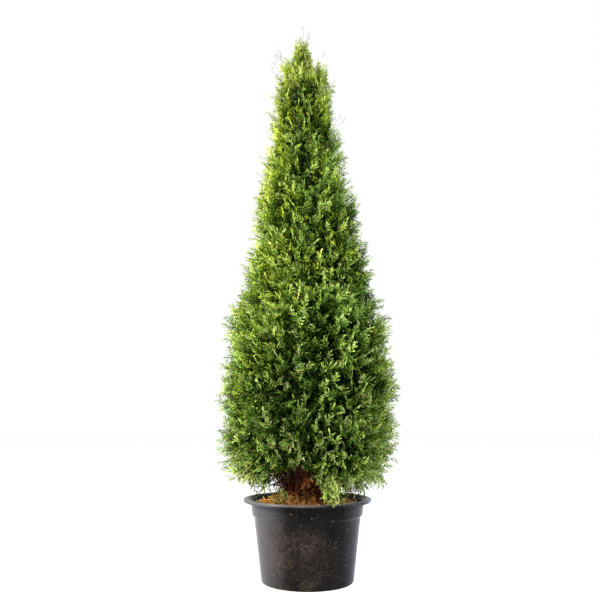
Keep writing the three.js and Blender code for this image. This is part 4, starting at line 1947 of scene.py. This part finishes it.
@dataclass
class Container:
    """The nursery container: a lip rolled outwards, a band, a step and a slight taper."""

    around: int = 160
    corner_steps: int = 7
    wall: float = 4 * MILLIMETRE
    floor: float = 5 * MILLIMETRE
    base_radius: float = 0.177
    step_height: float = 0.240
    step_rise: float = 0.006
    step_radius: float = 0.208
    band_radius: float = 0.215
    neck_radius: float = 0.221
    lip_underside: float = 0.293
    lip_inner: float = 0.231
    holes: int = 8
    hole_radius: float = 7 * MILLIMETRE
    hole_ring: float = 0.14
    hole_sides: int = 20

    def corner(self, before: Array, at: Array, after: Array, radius: float) -> Array:
        """A rounded corner: a quadratic curve between the points that far along each arm.

        Args:
            before: the corner before.
            at: this corner.
            after: the corner after.
            radius: how far along its arms the curve starts and ends.

        Returns:
            Points of shape (corner_steps, 2).
        """
        start = at + unit(before - at) * radius
        end = at + unit(after - at) * radius
        t = np.linspace(0, 1, self.corner_steps)[:, None]
        return (1 - t) ** 2 * start + 2 * t * (1 - t) * at + t**2 * end

    def profile(self, lip_radius: float, height: float) -> Array:
        """The wall's outline, distance from the axis and height, from the floor's middle round.

        Args:
            lip_radius: the lip's outer radius.
            height: the lip's height.

        Returns:
            Points of shape (n, 2), with every corner rounded by its own radius.
        """
        w = self.wall
        step_top = self.step_height + self.step_rise
        corners = [
            ((0.0, 0.0), 0.0),
            ((self.base_radius, 0.0), 6 * MILLIMETRE),
            ((self.step_radius, self.step_height), 2 * MILLIMETRE),
            ((self.band_radius, step_top), 2 * MILLIMETRE),
            ((self.neck_radius, self.lip_underside), 3 * MILLIMETRE),
            ((lip_radius, self.lip_underside), 5 * MILLIMETRE),
            ((lip_radius, height), 5 * MILLIMETRE),
            ((self.lip_inner, height), 3 * MILLIMETRE),
            ((self.neck_radius - w, self.lip_underside), 4 * MILLIMETRE),
            ((self.band_radius - w, step_top), 2 * MILLIMETRE),
            ((self.step_radius - w, self.step_height), 2 * MILLIMETRE),
            ((self.base_radius - w, self.floor), 5 * MILLIMETRE),
            ((0.0, self.floor), 0.0),
        ]
        places = [np.array(place) for place, _ in corners]
        parts = [places[0][None]]
        for i in range(1, len(corners) - 1):
            parts.append(self.corner(places[i - 1], places[i], places[i + 1], corners[i][1]))
        return np.concatenate([*parts, places[-1][None]])

    def drill(self, shell: Object) -> None:
        """Cuts the drain holes through the floor: short upright tubes taken away from the shell.

        Args:
            shell: the container's piece.
        """
        angle = 2 * np.pi * (np.arange(self.holes) + 0.5) / self.holes
        middle = level_ways(angle) * self.hole_ring
        paths = np.stack([middle - self.floor * UP, middle + 3 * self.floor * UP], axis=1)
        soup = Soup()
        soup.add(*tubes(paths, np.full((self.holes, 2), self.hole_radius), self.hole_sides))
        cutter = soup.piece("drain_hole_cutter", [])
        cut = shell.modifiers.new("drain_holes", "BOOLEAN")
        cut.operation = "DIFFERENCE"
        cut.solver = "EXACT"
        cut.object = cutter
        with bpy.context.temp_override(object=shell, active_object=shell):
            bpy.ops.object.modifier_apply(modifier=cut.name)
        bpy.data.objects.remove(cutter)

    def build(self, plastic: Material) -> Object:
        """Turns the profile round the axis, with a pole in the middle of each side of the floor.

        Args:
            plastic: its material.

        Returns:
            The piece.
        """
        _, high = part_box("pot")
        outline = self.profile(high.x, high.z)
        body, ends = outline[1:-1], outline[[0, -1]]
        spokes = level_ways(even_angles(self.around))
        points = body[:, None, :1] * spokes + body[:, None, 1:] * UP
        soup = Soup()
        points = np.concatenate([points.reshape(-1, 3), ends[:, 1:] * UP])
        soup.add(points, closed_faces(len(body), self.around))
        piece = soup.piece("container_shell", [plastic])
        self.drill(piece)
        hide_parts("pot")
        return piece


@dataclass
class Ground:
    """The soil in the container and the shed branchlets lying on it, heaped at the front left."""

    rings: int = 70
    around: int = 180
    settled: float = 2 * MILLIMETRE
    level_radius: float = 0.09
    edge_fall: float = 7 * MILLIMETRE
    lump_height: float = 1.8 * MILLIMETRE
    lump_width: float = 0.05
    crumb_width: float = 0.016
    crumb_share: float = 0.6
    step_heights: tuple[float, float] = (0.240, 0.246)
    wall_radii: tuple[float, float, float] = (0.1715, 0.2035, 0.2105)
    edge_gap_share: float = 0.998
    litter_count: int = 4600
    litter_inner: float = 0.035
    litter_band: float = 0.17
    litter_lengths: tuple[float, float] = (0.012, 0.03)
    litter_depth: float = 8 * MILLIMETRE
    litter_tilt: float = 0.35
    heap_share: float = 0.35
    heap_angle_deg: float = -138
    heap_ring: float = 0.125
    heap_band: tuple[float, float] = (0.04, 0.2)
    heap_spread: float = 0.035
    heap_fan: float = 0.5
    heap_height: float = 0.04
    heap_top: float = 0.1
    heap_slope: float = 0.06
    heap_slope_angle: float = 0.6

    def height(self, x: Array, y: Array) -> Array:
        """The soil's surface: level, falling a little to its edge, with lumps and crumbs as noise.

        Args:
            x: places to the right.
            y: places to the back.

        Returns:
            Heights, of the same shape.
        """
        _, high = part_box("soil")
        edge = np.interp(np.hypot(x, y), [0, self.level_radius, high.x], [0, 0, -self.edge_fall])
        place = np.stack([x, y, np.zeros_like(x)], axis=-1)
        lumps = smooth_noise(place, self.lump_width, 31)
        lumps = lumps + self.crumb_share * smooth_noise(place, self.crumb_width, 32)
        return high.z - self.settled + edge + self.lump_height * lumps

    def soil(self, peat: Material) -> Object:
        """The body of the soil: an uneven top on a turned side and a flat underside.

        Args:
            peat: its material.

        Returns:
            The piece.
        """
        low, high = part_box("soil")
        spokes = level_ways(even_angles(self.around))
        wall_heights = np.array([low.z, *self.step_heights])
        wall_radii = np.array(self.wall_radii)
        wall = wall_radii[:, None, None] * spokes + wall_heights[:, None, None] * UP
        radius = np.linspace(0, 1, self.rings)[1:] ** 0.8 * high.x * self.edge_gap_share
        top = radius[::-1, None, None] * spokes
        top[..., 2] = self.height(top[..., 0], top[..., 1])
        body = np.concatenate([wall, top])
        centre = self.height(np.zeros(1), np.zeros(1))[0]
        poles = np.array([[0, 0, low.z], [0, 0, centre]])
        soup = Soup()
        points = np.concatenate([body.reshape(-1, 3), poles])
        soup.add(points, closed_faces(len(body), self.around))
        piece = soup.piece("soil_surface", [peat])
        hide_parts("soil")
        return piece

    def litter(self, leaves: Sequence[Material]) -> Object:
        """Shed branchlets strewn flat, thickest round the stems and in the heap.

        The heap is a bell over its distance from the axis times a bell over its angle.

        Args:
            leaves: the tints' materials.

        Returns:
            The piece.
        """
        rng = np.random.default_rng(SEED + 7)
        count = self.litter_count
        radius = self.litter_inner + self.litter_band * rng.beta(1.3, 1.9, count)
        angle = rng.uniform(-np.pi, np.pi, count)
        heaped = rng.uniform(size=count) < self.heap_share
        heap_radius = np.clip(rng.normal(self.heap_ring, self.heap_spread, count), *self.heap_band)
        radius = np.where(heaped, heap_radius, radius)
        turn = rng.normal(0, self.heap_fan, count)
        heap_angle = math.radians(self.heap_angle_deg)
        angle = np.where(heaped, heap_angle + turn, angle)
        x, y = radius * np.cos(angle), radius * np.sin(angle)
        out, aside = (radius - self.heap_top) / self.heap_slope, angle - heap_angle
        heap = self.heap_height * np.exp(-(out**2)) * heaped
        heap *= np.exp(-((aside / self.heap_slope_angle) ** 2))
        lift = rng.uniform(0, 1, count) * (heap + self.litter_depth)
        roots = np.stack([x, y, self.height(x, y) + MILLIMETRE + lift], axis=1)
        ahead = level_ways(rng.uniform(0, 2 * np.pi, count))
        ahead[:, 2] = rng.normal(size=count) * self.litter_tilt
        facing = unit(UP + 0.5 * rng.normal(size=(count, 3)))
        length = rng.uniform(*self.litter_lengths, count)
        kinds = [tint_slot(t) for t in (Tint.RUST, Tint.DEAD, Tint.STRAW)]
        tints = rng.choice(kinds, count, p=[0.27, 0.05, 0.68])
        maker = SprayMaker(SprayPattern(branchlets=2, ribs=2, width=0.17), 6, SEED + 8)
        soup = Soup()
        maker.place(Sprays(roots, unit(ahead), facing, length, tints), soup)
        piece = soup.piece("shed_branchlets", leaves, smooth=False)
        return piece


# Studio


@dataclass(frozen=True)
class Lamp:
    """An oblong soft lamp: its place, what it faces, its width and height, watts and colour."""

    name: str
    place: tuple[float, float, float]
    target: tuple[float, float, float]
    size: tuple[float, float]
    power: float
    tone: str

    def hang(self) -> None:
        """Adds the lamp to the scene, turned to its target."""
        data = bpy.data.lights.new(self.name, "AREA")
        data.shape = "RECTANGLE"
        data.size, data.size_y = self.size
        data.energy = self.power
        data.color = linear(self.tone)[:3]
        lamp = bpy.data.objects.new(self.name, data)
        lamp.location = self.place
        way = Vector(np.subtract(self.target, self.place))
        lamp.rotation_euler = way.to_track_quat("-Z", "Y").to_euler()
        bpy.context.scene.collection.objects.link(lamp)


@dataclass(frozen=True)
class Studio:
    """A pale floor, a white surround, soft lamps and the camera.

    A warm key lamp hangs at the front left and a cooler one at the right. Two low panels light
    the container's sides, and a small lamp the foot of the plant.
    """

    floor_tone: str = "c4c4c4"
    floor_glow: float = 0.72
    floor_half: float = 30.0
    bright_side: tuple[float, float, float] = (-0.5, 0.85, 0.1)
    bright_span: tuple[float, float] = (-0.1, 0.55)
    dim_light: float = 0.18
    bright_light: float = 0.9
    camera_distance: float = 2.645
    camera_height: float = 0.603
    pitch_deg: float = 10.5
    pan_deg: float = 0.62
    lens: float = 39.0
    sensor: float = 36.0
    lamps: tuple[Lamp, ...] = (
        Lamp("key_lamp", (-4.6, -2.0, 2.8), (0.0, 0.0, 1.2), (0.9, 0.9), 660, "fff3de"),
        Lamp("side_lamp", (4.4, -0.6, 2.6), (0.0, 0.0, 1.2), (1.2, 1.2), 345, "f0f5ff"),
        Lamp("left_panel", (-2.4, 0.3, 0.4), (0.0, 0.0, 0.2), (3.0, 0.8), 36, "f6f7ff"),
        Lamp("right_panel", (2.2, 1.9, 0.4), (0.0, 0.0, 0.2), (1.6, 0.8), 22, "b8ccff"),
        Lamp("low_lamp", (-2.2, -1.5, 0.62), (0.0, -0.14, 0.3), (0.4, 0.3), 27, "fff2e0"),
    )

    def floor(self) -> None:
        """A wide pale plane on which the container stands. It glows a little, to stay even."""
        half = self.floor_half
        corners = np.array([[-half, -half, 0], [half, -half, 0], [half, half, 0], [-half, half, 0]])
        soup = Soup()
        soup.add(corners, np.array([[0, 1, 2], [0, 2, 3]]))
        inputs = {
            "Base Color": linear(self.floor_tone),
            "Roughness": 0.95,
            "Specular IOR Level": 0.0,
            "Emission Color": (1, 1, 1, 1),
            "Emission Strength": self.floor_glow,
        }
        material = new_material("matt_white_floor", inputs)
        soup.piece("studio_floor", [material], smooth=False)

    def surround(self) -> None:
        """The surround: white to look at, and as light bright behind and to the left.

        Its light is dim + (bright - dim) * s, where s rises smoothly with how far a direction
        points along the bright side.
        """
        world = bpy.data.worlds.new("white_surround")
        world.use_nodes = True
        tree = world.node_tree
        way = add_node(tree, "ShaderNodeTexCoord").outputs["Generated"]
        inputs = {0: way, 1: tuple(unit(np.array(self.bright_side)))}
        side = add_node(tree, "ShaderNodeVectorMath", inputs, operation="DOT_PRODUCT")
        inputs = {
            "Value": side.outputs["Value"],
            "From Min": self.bright_span[0],
            "From Max": self.bright_span[1],
            "To Min": self.dim_light,
            "To Max": self.bright_light,
        }
        glow = add_node(tree, "ShaderNodeMapRange", inputs, interpolation_type="SMOOTHSTEP")
        seen = add_node(tree, "ShaderNodeLightPath").outputs["Is Camera Ray"]
        strength = add_node(tree, "ShaderNodeMix", {0: seen, 2: glow.outputs[0], 3: 1.0})
        light = {"Color": (1, 1, 1, 1), "Strength": strength.outputs[0]}
        plug(tree, tree.nodes["Background"], light)
        bpy.context.scene.world = world

    def camera(self) -> None:
        """A camera above the container's lip, looking slightly up."""
        data = bpy.data.cameras.new("camera")
        data.lens = self.lens
        data.sensor_width = self.sensor
        camera = bpy.data.objects.new("camera", data)
        camera.location = (0, -self.camera_distance, self.camera_height)
        turn = (math.radians(90 + self.pitch_deg), 0, math.radians(self.pan_deg))
        camera.rotation_euler = turn
        bpy.context.scene.collection.objects.link(camera)
        bpy.context.scene.camera = camera

    def build(self) -> None:
        """Sets up the whole studio."""
        self.floor()
        self.surround()
        self.camera()
        for lamp in self.lamps:
            lamp.hang()
        bpy.context.scene.view_settings.view_transform = "Standard"


# Main


def limb_paths(names: Sequence[str], leader: Leader) -> list[LimbPath]:
    """Reads limbs back from the frame: stems ring by ring upwards, boughs outwards.

    Args:
        names: the CAD nodes.
        leader: what boughs lead away from.

    Returns:
        One path for each name.
    """
    paths = []
    for name in names:
        direction = UP
        if name.startswith("bough_"):
            corners = node_triangles(name).reshape(-1, 3)
            direction = leader.outward(corners.mean(axis=0)[None])[0]
        paths.append(LimbPath.from_node(name, direction))
    return paths


def write_sizes() -> None:
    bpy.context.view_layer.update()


def main() -> None:
    """Builds the plant from the wood outwards, then its container and the studio."""
    logging.basicConfig(level=logging.INFO, format="%(name)s: %(message)s")
    Studio().build()
    leader = Leader()
    bark = FibrousBark().material()
    wood = Wood(leader)
    pieces = [wood.trunk(bark)]
    stems, boughs = names_starting("stem_"), names_starting("bough_")
    stem_paths, bough_paths = limb_paths(stems, leader), limb_paths(boughs, leader)
    pieces.append(wood.limbs(stems, stem_paths, bark, "stem_bark"))
    pieces.append(wood.limbs(boughs, bough_paths, bark, "bough_bark"))
    limbs = [*stem_paths, *bough_paths]
    entries = np.array([path.centres[-1] for path in limbs])
    ways = unit(np.array([path.centres[-1] - path.centres[-2] for path in limbs]))
    leaves = ScaleLeaves().materials()
    skins = [
        YoungWood("32281a", "dark_brown_branch").material(),
        YoungWood("4c5a22", "olive_green_twig").material(),
    ]
    pieces += Crown(leader, entries, ways).build(leaves, skins)
    pieces += Foot(leader).build(leaves, YoungWood("48240f", "dead_red_brown_twig").material())
    pieces.append(Wisps(leader).build(YoungWood("64594a", "grey_brown_shoot").material()))
    pieces.append(Container().build(MouldedContainer().material()))
    ground = Ground()
    pieces.append(ground.soil(PeatSubstrate().material()))
    pieces.append(ground.litter(leaves))
    for piece in pieces:
        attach(piece, "root")
        log.info("%s: %d triangles, riding on root", piece.name, len(piece.data.polygons))
    write_sizes()


if __name__ == "__main__":
    main()
